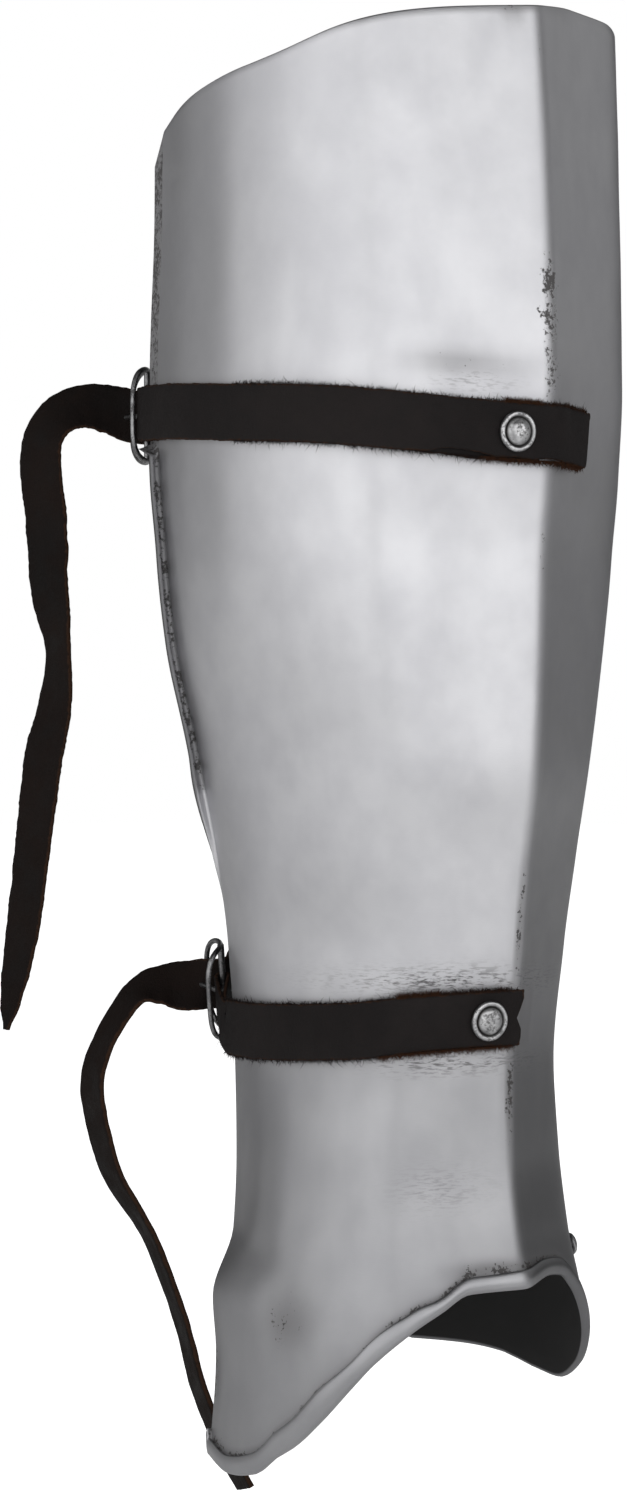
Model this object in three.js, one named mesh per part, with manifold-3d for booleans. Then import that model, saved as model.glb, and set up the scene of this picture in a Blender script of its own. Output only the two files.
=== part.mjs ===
// Greave for one leg: a steel plate with a ridge along the shin, two buckled leather straps and
// their rivets. All lengths are millimetres and all angles in the tables are degrees.
// The origin lies on the leg's axis at mid height. +Z is up and the ridge faces -Y.
// The outer wing, which the buckles are on, lies on the -X side, and the inner wing on the +X side.
import * as THREE from "three";
import { mergeVertices } from "three/addons/utils/BufferGeometryUtils.js";
import Module from "manifold-3d";

const wasm = await Module();
wasm.setup();

const OUTER = -1;
const INNER = 1;
const GAP = 0.3;
const SAME_POINT = 1e-3;

// Outline of the plate's outer face in plan at each height. Ridge and fold_back are distances in
// front of and behind the leg's axis, and half_width and fold_out are distances to the side of it.
const SECTIONS = [
  { height: 215, ridge: 52.5, half_width: 64.5, fold_back: 50.5, fold_out: 49.5 },
  { height: 160, ridge: 56.2, half_width: 63.5, fold_back: 50, fold_out: 50 },
  { height: 107, ridge: 58, half_width: 63.5, fold_back: 52, fold_out: 50 },
  { height: 80, ridge: 56.6, half_width: 62, fold_back: 50.8, fold_out: 50 },
  { height: 56, ridge: 54.4, half_width: 60.5, fold_back: 48, fold_out: 50 },
  { height: 31, ridge: 53.6, half_width: 57, fold_back: 45.5, fold_out: 48.5 },
  { height: 0, ridge: 51.8, half_width: 51.5, fold_back: 41, fold_out: 44 },
  { height: -31, ridge: 47.7, half_width: 47, fold_back: 38.5, fold_out: 39 },
  { height: -57, ridge: 44.9, half_width: 42.5, fold_back: 36.7, fold_out: 36 },
  { height: -90, ridge: 41.5, half_width: 40.5, fold_back: 36.3, fold_out: 33.7 },
  { height: -116, ridge: 42.1, half_width: 43, fold_back: 36.3, fold_out: 33 },
  { height: -139, ridge: 44.8, half_width: 45.3, fold_back: 36, fold_out: 34.5 },
  { height: -159, ridge: 49, half_width: 48.5, fold_back: 38, fold_out: 41 },
  { height: -175, ridge: 51, half_width: 49.5, fold_back: 36.5, fold_out: 41 },
  { height: -212, ridge: 52, half_width: 50, fold_back: 39, fold_out: 42 },
];
const SHEET = 1.3;
const FACE_ANGLE = 70;
const FACE_FULLNESS = 0.85;
const BACK_FULLNESS = 0.4;
const WIDEST_BEHIND = 4;
const EDGE_INWARD = 27;
const FRONT_SHARE = 0.68;

// Strip of sheet behind the fold line of each wing: its width, and how far it is turned outwards.
const BACK_STRIP = [
  { height: 215, width: 10, turned: 0 },
  { height: 90, width: 10, turned: 0 },
  { height: 86, width: 8, turned: 165 },
  { height: 0, width: 8, turned: 165 },
  { height: -15, width: 5.5, turned: 120 },
  { height: -30, width: 3, turned: 75 },
  { height: -45, width: 1.5, turned: 0 },
  { height: -212, width: 1.5, turned: 0 },
];

// Heights of the edges of each wing, from the ridge, share 0, past the fold, share 1, to the free
// back edge, share 1.2. The hem is the height of the band folded up over the bottom edge.
const BACK_SHARE = 1.2;
const OUTER_TOP = [
  { share: 0, height: 211 },
  { share: 0.15, height: 208 },
  { share: 0.3, height: 204.5 },
  { share: 0.45, height: 200.5 },
  { share: 0.6, height: 195 },
  { share: 0.75, height: 190 },
  { share: 0.9, height: 185.5 },
  { share: 1, height: 181 },
  { share: 1.2, height: 172 },
];
const INNER_TOP = [
  { share: 0, height: 211 },
  { share: 0.1, height: 213 },
  { share: 0.25, height: 213 },
  { share: 0.4, height: 210.5 },
  { share: 0.6, height: 203 },
  { share: 0.8, height: 192 },
  { share: 1, height: 181 },
  { share: 1.2, height: 172 },
];
const OUTER_BOTTOM = [
  { share: 0, height: -153, hem: 5.5 },
  { share: 0.12, height: -153.5, hem: 4.5 },
  { share: 0.2, height: -158, hem: 4.5 },
  { share: 0.3, height: -163.5, hem: 6 },
  { share: 0.42, height: -171.5, hem: 7 },
  { share: 0.5, height: -179.5, hem: 7.5 },
  { share: 0.58, height: -189.5, hem: 9.5 },
  { share: 0.65, height: -198.5, hem: 8 },
  { share: 0.75, height: -207, hem: 6 },
  { share: 0.86, height: -208.5, hem: 5.5 },
  { share: 1, height: -205.5, hem: 5 },
  { share: 1.2, height: -202, hem: 4.5 },
];
const INNER_BOTTOM = [
  { share: 0, height: -153, hem: 5.5 },
  { share: 0.1, height: -151, hem: 5 },
  { share: 0.17, height: -152, hem: 5 },
  { share: 0.24, height: -157, hem: 5.5 },
  { share: 0.32, height: -165, hem: 6 },
  { share: 0.4, height: -174, hem: 6 },
  { share: 0.48, height: -182, hem: 6 },
  { share: 0.56, height: -186.5, hem: 6 },
  { share: 0.62, height: -185, hem: 6 },
  { share: 0.7, height: -181.5, hem: 5.5 },
  { share: 0.85, height: -180, hem: 5 },
  { share: 1.2, height: -179, hem: 5 },
];
const HEM_BULGE = 0.3;
const HEM_ROUND = 0.8;
const HEM_POINTS = 5;

// Grid of the plate
const SHARE_STEPS = 17;
const STRIP_STEPS = 5;
const STRIP_BENDS = 3;
const LEVEL_STEP = 15;
const LEVEL_REACH = 135;
const EDGE_LEVELS = 5;
const SAME_SHARE = 1e-6;

// Straps
const STRAP_WIDTH = 16;
const LAYER = 1.2;
const LONG_STRAP = 1.8;
const SKIN_GAP = 0.6;
const PAST_EDGE = 2.5;
const PAST_EDGE_SHARE = 1.3;
const LOOP_START = -110;
const LOOP_END = 90;
const LOOP_STEPS = 7;

// Buckles
const BAR = 1;
const BAR_SIDES = 12;
const WIRE = 0.8;
const WIRE_SIDES = 6;
const FRAME_TALL = 13.6;
const FRAME_LONG = 10;
const FRAME_ARCH = 4.4;
const FRAME_SQUARENESS = 0.5;
const FRAME_STEPS = 28;
const PRONG = 0.8;
const PRONG_LEAN = 34;
const PRONG_LENGTH = 11.5;
const PRONG_HOOK = 255;
const HOOK_STEPS = 12;
const STRAIGHT_STEPS = 3;
const PRONG_SEGMENTS = 3;
const SLOT_HALF = 1.4;
const SLOT_LONG = 4.2;
const SLOT_DEEP = 17;
const WINDOW = 5.9;
const WINDOW_PROUD = 4;
const PRONG_HOLE = 1.5;
const PRONG_HOLE_DEEP = 6;
const PRONG_HOLE_SIDES = 12;
const BEHIND_LEG = 225;
const FROM_LEG = 135;
const FRAME_HEADING = 222;

// Each buckle: its bar's place behind the free back edge of the outer wing, its lean to the side
// and its tilt up towards the back.
const UPPER_BUCKLE = { height: 99.3, beyond: 11.5, proud: 1.2, lean: 0, tilt: 0 };
const LOWER_BUCKLE = { height: -70.5, beyond: 11.5, proud: 2.6, lean: 4, tilt: 14 };
// Loop of each strap round the bar: how far it has slid down the bar, and its width.
const UPPER_LOOP = { slid: 0, width: 15 };
const LOWER_LOOP = { slid: 1.5, width: 12 };
// Heights of the long straps on the inner wing.
const UPPER_FAR_HEIGHT = 99.3;
const LOWER_FAR_HEIGHT = -64;

// Middle line of each buckle strap on the outer wing: share of the way to the fold, and height.
const UPPER_LINE = [
  { share: 0, height: 89 },
  { share: 0.3, height: 91.1 },
  { share: 0.55, height: 93.5 },
  { share: 0.8, height: 96.5 },
  { share: 1, height: 98.4 },
  { share: 1.3, height: 99.3 },
];
const LOWER_LINE = [
  { share: 0, height: -76 },
  { share: 0.3, height: -77.2 },
  { share: 0.55, height: -79.5 },
  { share: 0.8, height: -81 },
  { share: 1, height: -80.8 },
  { share: 1.2, height: -79.8 },
  { share: 1.3, height: -78 },
];
// Middle line of the upper buckle strap's end beyond the ridge, on the inner wing.
const UPPER_PAST_RIDGE = [
  { share: 0.059, height: 88.6 },
  { share: 0.09, height: 88.3 },
];
// Shares of the rivets and of the hidden strap ends on their wings.
const UPPER_RIVET = 0.061;
const LOWER_RIVET = 0.07;
const UNDER_LAYER_START = 0.02;
const RIVET_SPAN = 0.02;
const FAR_RIVET = 0.912;
const FAR_STRAP_START = 0.83;
// Way round behind the leg and out through the buckle.
const BACK_SLACK = 22;
const BACK_STEPS = 12;
const TURN_RADIUS = 2.3;
const TURN_STEPS = 3;

// Free end of each long strap beyond its buckle: distance out from the bar, height, distance
// towards the front of the leg, width, and how far its face is turned.
const UPPER_FREE_END = [
  { out: 12, height: 102, toward: 0, width: 15.4, turned: 20 },
  { out: 18, height: 102.6, toward: 1, width: 15.4, turned: 28 },
  { out: 23.5, height: 101.4, toward: 2, width: 15.4, turned: 34 },
  { out: 28.2, height: 98, toward: 3, width: 15.4, turned: 38 },
  { out: 31.3, height: 92.6, toward: 3, width: 15.4, turned: 38 },
  { out: 32, height: 85, toward: 2, width: 15.4, turned: 36 },
  { out: 30.4, height: 68, toward: 0, width: 15.4, turned: 35 },
  { out: 29.6, height: 48, toward: -2, width: 15.4, turned: 42 },
  { out: 27, height: 29, toward: -3, width: 15.4, turned: 61 },
  { out: 28.3, height: 12, toward: -3, width: 15.4, turned: 48 },
  { out: 31, height: 0, toward: -2, width: 15.4, turned: 40 },
  { out: 34.5, height: -29, toward: 0, width: 15.4, turned: 45 },
  { out: 37.2, height: -52, toward: 1, width: 14.6, turned: 46 },
  { out: 39.3, height: -65, toward: 1, width: 12, turned: 44 },
  { out: 41.1, height: -75.5, toward: 1, width: 7.5, turned: 40 },
  { out: 42.3, height: -83.5, toward: 1, width: 1.2, turned: 38 },
];
const LOWER_FREE_END = [
  { out: 12, height: -70, toward: 0, width: 15, turned: 20 },
  { out: 20, height: -69.8, toward: 1, width: 15, turned: 48 },
  { out: 26, height: -72, toward: 2, width: 15, turned: 64 },
  { out: 31.5, height: -79, toward: 3, width: 15, turned: 66 },
  { out: 36, height: -87.5, toward: 3, width: 15, turned: 66 },
  { out: 39, height: -98, toward: 2, width: 15, turned: 63 },
  { out: 37.3, height: -112, toward: 0, width: 15, turned: 63 },
  { out: 32.8, height: -126.5, toward: 0, width: 15, turned: 66 },
  { out: 22.3, height: -144, toward: 0, width: 15, turned: 73 },
  { out: 12.5, height: -170, toward: 0, width: 15, turned: 74 },
  { out: 6.9, height: -191, toward: 0, width: 15, turned: 72 },
  { out: -2.5, height: -212, toward: 0, width: 15, turned: 68 },
  { out: -6.5, height: -219, toward: 0, width: 12, turned: 66 },
];
const FREE_STEP = 6.5;

// Rivets: radius and height above what they hold, from the middle of the head to its back.
const RIVET_HEAD = [
  { radius: 0, rise: 2 },
  { radius: 2.6, rise: 1.9 },
  { radius: 3.8, rise: 1.1 },
  { radius: 4.1, rise: 0.6 },
  { radius: 4.6, rise: 1.2 },
  { radius: 5.4, rise: 1.2 },
  { radius: 5.75, rise: 0.6 },
  { radius: 5.6, rise: 0 },
];
const STUD_HEAD = [
  { radius: 0, rise: 1.7 },
  { radius: 1.7, rise: 1.45 },
  { radius: 2.9, rise: 0.8 },
  { radius: 3.4, rise: 0 },
];
const SHANK = 1.9;
const HOLE = 2.3;
const HOLE_DEEP = 16;
const HOLE_SIDES = 16;
const BACK_HEAD = 3.6;
const BACK_HEAD_TOP = 2.5;
const BACK_GAP = 0.9;
const BACK_HEAD_RISE = 1;
const RIVET_SIDES = 12;
const STUD = { height: -145.5, share: 0.43 };

const STEEL = { color: 0xb4b6ba, roughness: 0.38, metalness: 1 };
const RIVET_STEEL = { color: 0x9a9c9f, roughness: 0.45, metalness: 1 };
const LEATHER = { color: 0x231c1a, roughness: 0.75, metalness: 0 };

const UP = new THREE.Vector3(0, 0, 1);
const radians = THREE.MathUtils.degToRad;

// Value of one column at a place between a table's rows, on a smooth curve through the rows.
function readTable(rows, key, column, place) {
  const ordered = rows[0][key] < rows[1][key] ? rows : [...rows].reverse();
  const last = ordered.length - 1;
  const clamped = THREE.MathUtils.clamp(place, ordered[0][key], ordered[last][key]);
  let i = 0;
  while (i < last - 1 && ordered[i + 1][key] <= clamped) i += 1;
  const change = (k, name) => ordered[k + 1][name] - ordered[k][name];
  const slope = (k) => change(k, column) / change(k, key);
  const meet = (a, b) => (a * b > 0 ? (2 * a * b) / (a + b) : 0);
  const startSlope = i > 0 ? meet(slope(i - 1), slope(i)) : slope(i);
  const endSlope = i < last - 1 ? meet(slope(i), slope(i + 1)) : slope(i);
  const span = change(i, key);
  const t = (clamped - ordered[i][key]) / span;
  const rise = t * t * (3 - 2 * t);
  const from = ordered[i][column];
  const to = ordered[i + 1][column];
  return from + (to - from) * rise + span * t * (1 - t) * ((1 - t) * startSlope - t * endSlope);
}

// Unit vector in plan at an angle that is 0 straight ahead, 90 out to the wing's own side and
// 180 straight back.
function inPlan(side, degrees) {
  return new THREE.Vector3(side * Math.sin(radians(degrees)), -Math.cos(radians(degrees)), 0);
}

// Point on the plate's outer face, with its heading in degrees, at a height and a share of the way
// from the ridge to the fold. The face beside the ridge is nearly flat and turns into the side.
function wingPoint(side, height, share) {
  const at = (column) => readTable(SECTIONS, "height", column, height);
  const place = (x, y) => new THREE.Vector3(side * x, y, height);
  const from = (start, degrees, reach) => inPlan(side, degrees).multiplyScalar(reach).add(start);
  const ridge = place(0, -at("ridge"));
  const widest = place(at("half_width"), WIDEST_BEHIND);
  const fold = place(at("fold_out"), at("fold_back"));
  const faceReach = FACE_FULLNESS * at("half_width");
  const sideReach = FACE_FULLNESS * (at("ridge") + WIDEST_BEHIND);
  const backReach = BACK_FULLNESS * (at("fold_back") - WIDEST_BEHIND);
  const inFront = share <= FRONT_SHARE;
  const curve = inFront
    ? new THREE.CubicBezierCurve3(
        ridge,
        from(ridge, 180 - FACE_ANGLE, faceReach),
        from(widest, 0, sideReach),
        widest,
      )
    : new THREE.CubicBezierCurve3(
        widest,
        from(widest, 180, backReach),
        from(fold, EDGE_INWARD, backReach),
        fold,
      );
  const t = inFront ? share / FRONT_SHARE : (share - FRONT_SHARE) / (1 - FRONT_SHARE);
  const way = curve.getTangent(t);
  const turn = THREE.MathUtils.radToDeg(Math.atan2(side * way.x, -way.y));
  return { point: curve.getPoint(t), heading: turn < 0 ? turn + 360 : turn };
}

// Points of the strip behind the fold, through the middle of the sheet, each with the heading
// before it and after it.
function stripPoints(side, height) {
  const width = readTable(BACK_STRIP, "height", "width", height);
  const turned = readTable(BACK_STRIP, "height", "turned", height);
  const straight = 180 + EDGE_INWARD;
  const fold = wingPoint(side, height, 1).point.addScaledVector(inPlan(side, straight - 90), -SHEET / 2);
  const headings = Array.from(
    { length: STRIP_STEPS },
    (_, k) => straight - (turned * Math.min(k, STRIP_BENDS)) / STRIP_BENDS,
  );
  const points = [{ point: fold, before: straight, after: headings[0] }];
  headings.forEach((heading, k) => {
    const step = inPlan(side, heading).multiplyScalar(width / STRIP_STEPS);
    const point = points[k].point.clone().add(step);
    points.push({ point, before: heading, after: headings[k + 1] ?? heading });
  });
  return points;
}

// Point of the sheet in one column of the grid, at an offset outwards from the sheet's middle.
function sheetPoint({ side, share, strip }, height, offset) {
  if (strip > 0) {
    const { point, before, after } = stripPoints(side, height)[strip];
    const mitre = 1 / Math.cos(radians((before - after) / 2));
    return point.addScaledVector(inPlan(side, (before + after) / 2 - 90), offset * mitre);
  }
  const { point, heading } = wingPoint(side, height, share);
  if (share > 0) return point.addScaledVector(inPlan(side, heading - 90), offset - SHEET / 2);
  return point.addScaledVector(inPlan(side, 0), (offset - SHEET / 2) / Math.sin(radians(FACE_ANGLE)));
}

// Share of one column of the grid, counted on past the fold.
function edgeShare({ share, strip }) {
  return share + (strip * (BACK_SHARE - 1)) / STRIP_STEPS;
}

function topHeight(column) {
  const rows = column.side === OUTER ? OUTER_TOP : INNER_TOP;
  return readTable(rows, "share", "height", edgeShare(column));
}

// Heights of the bottom edge and of the top of the hem in one column.
function bottomHeights(column) {
  const rows = column.side === OUTER ? OUTER_BOTTOM : INNER_BOTTOM;
  const bottom = readTable(rows, "share", "height", edgeShare(column));
  return { bottom, hemTop: bottom + readTable(rows, "share", "hem", edgeShare(column)) };
}

// Heights of the plate's grid in one column, from the top edge down to the top of the hem.
function levelHeights(column) {
  const evenCount = (2 * LEVEL_REACH) / LEVEL_STEP + 1;
  const even = Array.from({ length: evenCount }, (_, k) => LEVEL_REACH - k * LEVEL_STEP);
  const bends = BACK_STRIP.map((row) => row.height).filter(
    (height) => Math.abs(height) < LEVEL_REACH && !even.includes(height),
  );
  const middle = [...even, ...bends].sort((a, b) => b - a);
  const parts = (from, to, k) => THREE.MathUtils.lerp(from, to, k / EDGE_LEVELS);
  const steps = Array.from({ length: EDGE_LEVELS }, (_, k) => k);
  const above = steps.map((k) => parts(topHeight(column), LEVEL_REACH, k));
  const below = steps.map((k) => parts(-LEVEL_REACH, bottomHeights(column).hemTop, k + 1));
  return [...above, ...middle, ...below];
}

// Closed upright profile of the sheet in one column, as offsets and heights: down the outer face,
// round the hem, and up the inner face.
function sheetProfile(column) {
  const half = SHEET / 2;
  const folded = half + SHEET;
  const levels = levelHeights(column);
  const { bottom, hemTop } = bottomHeights(column);
  return [
    ...levels.map((height) => [half, height]),
    [folded, hemTop],
    [folded + HEM_BULGE, (hemTop + bottom) / 2],
    [folded, bottom + HEM_ROUND],
    [half, bottom],
    [-half, bottom + HEM_ROUND],
    ...levels.reverse().map((height) => [-half, height]),
  ];
}

// Geometry of a closed surface from points and triangles, turned so that its faces point out.
function closedGeometry(points, triangles) {
  const volume = triangles.reduce((sum, [a, b, c]) => {
    return sum + points[a].dot(new THREE.Vector3().crossVectors(points[b], points[c]));
  }, 0);
  const ordered = volume < 0 ? triangles.map(([a, b, c]) => [a, c, b]) : triangles;
  const geometry = new THREE.BufferGeometry().setFromPoints(points);
  geometry.setIndex(ordered.flat());
  return geometry;
}

// Closed body through rings of points that follow each other, with a flat cap on the first and the
// last ring. Each cap is a list of triangles of places in the ring. A facet runs from one ring's
// place to the next place of the ring after it, or the other way where slanted says so.
function throughRings(rings, cap, slanted = () => false) {
  const size = rings[0].length;
  const triangles = [];
  for (let i = 0; i < rings.length - 1; i += 1) {
    for (let j = 0; j < size; j += 1) {
      const a = i * size + j;
      const b = i * size + ((j + 1) % size);
      if (slanted(i, j)) triangles.push([a, b, a + size], [b, b + size, a + size]);
      else triangles.push([a, b, b + size], [a, b + size, a + size]);
    }
  }
  const end = (rings.length - 1) * size;
  cap.forEach(([a, b, c]) => triangles.push([a, c, b], [end + a, end + b, end + c]));
  return closedGeometry(rings.flat(), triangles);
}

function plateGeometry() {
  const wing = (side) => [
    ...Array.from({ length: SHARE_STEPS }, (_, k) => ({ side, share: (k + 1) / SHARE_STEPS, strip: 0 })),
    ...Array.from({ length: STRIP_STEPS }, (_, k) => ({ side, share: 1, strip: k + 1 })),
  ];
  const columns = [...wing(OUTER).reverse(), { side: OUTER, share: 0, strip: 0 }, ...wing(INNER)];
  const rings = columns.map((column) =>
    sheetProfile(column).map(([offset, height]) => sheetPoint(column, height, offset)),
  );
  return throughRings(rings, sheetCap(rings[0].length));
}

// Triangles that close the sheet at a column, as places in its profile: pairs across the sheet down
// to the hem, then a fan over the hem.
function sheetCap(size) {
  const hemStart = (size - HEM_POINTS) / 2 - 1;
  const pairs = Array.from({ length: hemStart }, (_, k) => [
    [k, k + 1, size - 2 - k],
    [k, size - 2 - k, size - 1 - k],
  ]);
  const fan = Array.from({ length: HEM_POINTS }, (_, k) => [hemStart, hemStart + k + 1, hemStart + k + 2]);
  return [...pairs.flat(), ...fan];
}

function toSolid(geometry) {
  const bare = geometry.clone();
  bare.deleteAttribute("normal");
  bare.deleteAttribute("uv");
  const merged = mergeVertices(bare, SAME_POINT);
  return new wasm.Manifold(
    new wasm.Mesh({
      numProp: 3,
      vertProperties: merged.attributes.position.array,
      triVerts: new Uint32Array(merged.index.array),
    }),
  );
}

function toGeometry(solid) {
  const { vertProperties, triVerts } = solid.getMesh();
  const geometry = new THREE.BufferGeometry();
  geometry.setAttribute("position", new THREE.BufferAttribute(vertProperties, 3));
  geometry.setIndex(new THREE.BufferAttribute(triVerts, 1));
  return geometry;
}

function cutFrom(geometry, cutters) {
  return toGeometry(cutters.reduce((solid, cutter) => solid.subtract(toSolid(cutter)), toSolid(geometry)));
}

// Flat strip through stations, each with its centre, the direction across it and its width.
function ribbonGeometry(stations, thickness) {
  const rings = stations.map(({ centre, across, width }, i) => {
    const before = stations[Math.max(i - 1, 0)].centre;
    const after = stations[Math.min(i + 1, stations.length - 1)].centre;
    const arriving = centre.clone().sub(before).normalize();
    const leaving = after.clone().sub(centre).normalize();
    const along = arriving.clone().add(leaving).normalize();
    const turning = i > 0 && i < stations.length - 1 ? arriving.dot(leaving) : 1;
    const mitre = 1 / Math.sqrt((1 + turning) / 2);
    const through = new THREE.Vector3().crossVectors(along, across).normalize();
    const wide = new THREE.Vector3().crossVectors(through, along);
    const corner = (a, b) =>
      centre
        .clone()
        .addScaledVector(wide, (a * width) / 2)
        .addScaledVector(through, (b * mitre * thickness) / 2);
    return [corner(-1, -1), corner(1, -1), corner(1, 1), corner(-1, 1)];
  });
  const ends = [
    [0, 1, 2],
    [0, 2, 3],
  ];
  // Both broad faces are folded along the same diagonal, so that a twisted stretch stays even.
  const slanted = (i, j) => {
    const [here, next] = [rings[i], rings[i + 1]];
    const rising = here[0].distanceTo(next[1]) <= here[1].distanceTo(next[0]) + SAME_POINT;
    return j === 0 ? !rising : j === 2 && rising;
  };
  return throughRings(rings, ends, slanted);
}

// Corner of the plate's facets, lifted off the outer face: share 1 is the fold and BACK_SHARE the
// free back edge.
function liftedCorner(side, height, share, lift) {
  if (share === 0) {
    const point = wingPoint(side, height, 0).point;
    return point.addScaledVector(inPlan(side, 0), lift / Math.sin(radians(FACE_ANGLE)));
  }
  const { point, heading } = wingPoint(side, height, Math.min(share, 1));
  if (share <= 1) return point.addScaledVector(inPlan(side, heading - 90), lift);
  const straight = 180 + EDGE_INWARD;
  const width = readTable(BACK_STRIP, "height", "width", height);
  point.addScaledVector(inPlan(side, straight), width);
  return point.addScaledVector(inPlan(side, straight - 90), lift);
}

// Point over the plate's flat facets at a height, a share and a lift off the outer face.
function onPlate(side, height, share, lift) {
  const column = Math.min(Math.floor(share * SHARE_STEPS + SAME_SHARE), SHARE_STEPS);
  const from = column / SHARE_STEPS;
  const to = column < SHARE_STEPS ? (column + 1) / SHARE_STEPS : BACK_SHARE;
  const start = liftedCorner(side, height, from, lift);
  return start.lerp(liftedCorner(side, height, to, lift), (share - from) / (to - from));
}

// Station of a strap that lies flat on the plate.
function plateStation(side, height, share, lift) {
  const above = onPlate(side, height + STRAP_WIDTH / 2, share, lift);
  const below = onPlate(side, height - STRAP_WIDTH / 2, share, lift);
  return {
    centre: onPlate(side, height, share, lift),
    across: above.sub(below).normalize(),
    width: STRAP_WIDTH,
  };
}

// Shares of a start, of each of the plate's columns behind it, and of the free back edge.
function sharesFrom(start) {
  const columns = Array.from({ length: SHARE_STEPS + 1 }, (_, k) => k / SHARE_STEPS);
  return [start, ...columns.filter((share) => share > start + SAME_SHARE), BACK_SHARE];
}

// Own directions of a buckle: along its frame and away behind the leg, out from the leg, and up
// its bar, with the middle of the bar.
function buckleAxes({ height, beyond, proud, lean, tilt }) {
  const middle = onPlate(OUTER, height, BACK_SHARE, 0);
  middle.addScaledVector(inPlan(OUTER, BEHIND_LEG), beyond);
  middle.addScaledVector(inPlan(OUTER, FROM_LEG), proud);
  const hinge = inPlan(OUTER, FRAME_HEADING - 90);
  const along = inPlan(OUTER, FRAME_HEADING).applyAxisAngle(hinge, radians(-tilt));
  const up = UP.clone().applyAxisAngle(hinge, radians(-tilt)).applyAxisAngle(along, radians(-lean));
  return { along, out: new THREE.Vector3().crossVectors(up, along), up, middle };
}

// Point given in a buckle's own directions.
function atBuckle(axes, along, out, up) {
  return axes.middle
    .clone()
    .addScaledVector(axes.along, along)
    .addScaledVector(axes.out, out)
    .addScaledVector(axes.up, up);
}

// Mesh in a buckle's own frame, whose X runs along, Y out and Z up.
function placeAtBuckle(mesh, axes) {
  const basis = new THREE.Matrix4().makeBasis(axes.along, axes.out, axes.up);
  mesh.quaternion.setFromRotationMatrix(basis);
  mesh.position.copy(axes.middle);
  return mesh;
}

const signedPower = (value, power) => Math.sign(value) * Math.abs(value) ** power;

// Frame of one buckle: a rectangular wire ring with round corners, arched out over the strap, and
// its middle bar.
function frameGeometry() {
  const points = Array.from({ length: FRAME_STEPS }, (_, k) => {
    const angle = (2 * Math.PI * k) / FRAME_STEPS;
    const tall = signedPower(Math.sin(angle), FRAME_SQUARENESS);
    const long = signedPower(Math.cos(angle), FRAME_SQUARENESS);
    const arch = Math.sqrt(Math.max(0, 1 - tall ** 4));
    return new THREE.Vector3(FRAME_LONG * long, FRAME_ARCH * arch, FRAME_TALL * tall);
  });
  const path = new THREE.CatmullRomCurve3(points, true);
  const ring = new THREE.TubeGeometry(path, FRAME_STEPS, WIRE, WIRE_SIDES, true);
  const bar = new THREE.CylinderGeometry(BAR, BAR, 2 * FRAME_TALL, BAR_SIDES).rotateX(Math.PI / 2);
  return toGeometry(toSolid(ring).add(toSolid(bar)));
}

// Prong: a round wire hooked round the bar that runs straight out through the long strap's hole.
function prongGeometry() {
  const radius = BAR + GAP + PRONG;
  const start = PRONG_LEAN + 90;
  const hook = Array.from({ length: HOOK_STEPS + 1 }, (_, k) => {
    const angle = radians(start + PRONG_HOOK * (1 - k / HOOK_STEPS));
    return new THREE.Vector3(radius * Math.cos(angle), radius * Math.sin(angle), 0);
  });
  const way = new THREE.Vector3(Math.cos(radians(PRONG_LEAN)), Math.sin(radians(PRONG_LEAN)), 0);
  const root = hook[hook.length - 1];
  const straight = Array.from({ length: STRAIGHT_STEPS }, (_, k) => {
    return root.clone().addScaledVector(way, (PRONG_LENGTH * (k + 1)) / STRAIGHT_STEPS);
  });
  const path = new THREE.CatmullRomCurve3([...hook, ...straight], false, "centripetal");
  const circle = new THREE.Shape().absarc(0, 0, PRONG, 0, 2 * Math.PI);
  return new THREE.ExtrudeGeometry(circle, {
    steps: HOOK_STEPS + STRAIGHT_STEPS,
    curveSegments: PRONG_SEGMENTS,
    extrudePath: path,
    bevelEnabled: false,
  });
}

// Doubled strap of one buckle. Its under layer starts beside the ridge and runs back to the bar,
// loops round it, and the top layer comes forward again over the under layer.
function buckleStrap(line, axes, { slid, width }, pastRidge, rivet) {
  const lineHeight = (share) => readTable(line, "share", "height", share);
  const layer = (lift, start) => {
    const stations = sharesFrom(start).map((share) => plateStation(OUTER, lineHeight(share), share, lift));
    const past = plateStation(OUTER, lineHeight(PAST_EDGE_SHARE), BACK_SHARE, lift);
    past.centre.addScaledVector(inPlan(OUTER, 180 + EDGE_INWARD), PAST_EDGE);
    return [...stations, { ...past, width }];
  };
  const under = layer(SKIN_GAP + LAYER / 2, UNDER_LAYER_START);
  const topLift = SKIN_GAP + GAP / 2 + 1.5 * LAYER;
  const top = layer(topLift, 0).reverse();
  const loop = Array.from({ length: LOOP_STEPS + 1 }, (_, k) => {
    const angle = radians(THREE.MathUtils.lerp(LOOP_START, LOOP_END, k / LOOP_STEPS));
    const radius = BAR + GAP + LAYER / 2;
    const centre = atBuckle(axes, radius * Math.cos(angle), radius * Math.sin(angle), -slid);
    return { centre, across: axes.up, width };
  });
  const beyond = pastRidge.map(({ share, height }) => plateStation(INNER, height, share, topLift));
  const strap = ribbonGeometry([...under, ...loop, ...top, ...beyond], LAYER);
  const slot = new THREE.BoxGeometry(2 * SLOT_LONG, SLOT_DEEP, 2 * SLOT_HALF);
  slot.applyMatrix4(new THREE.Matrix4().makeBasis(axes.along, axes.out, axes.up).setPosition(axes.middle));
  return cutFrom(strap, [slot, rivet]);
}

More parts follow.
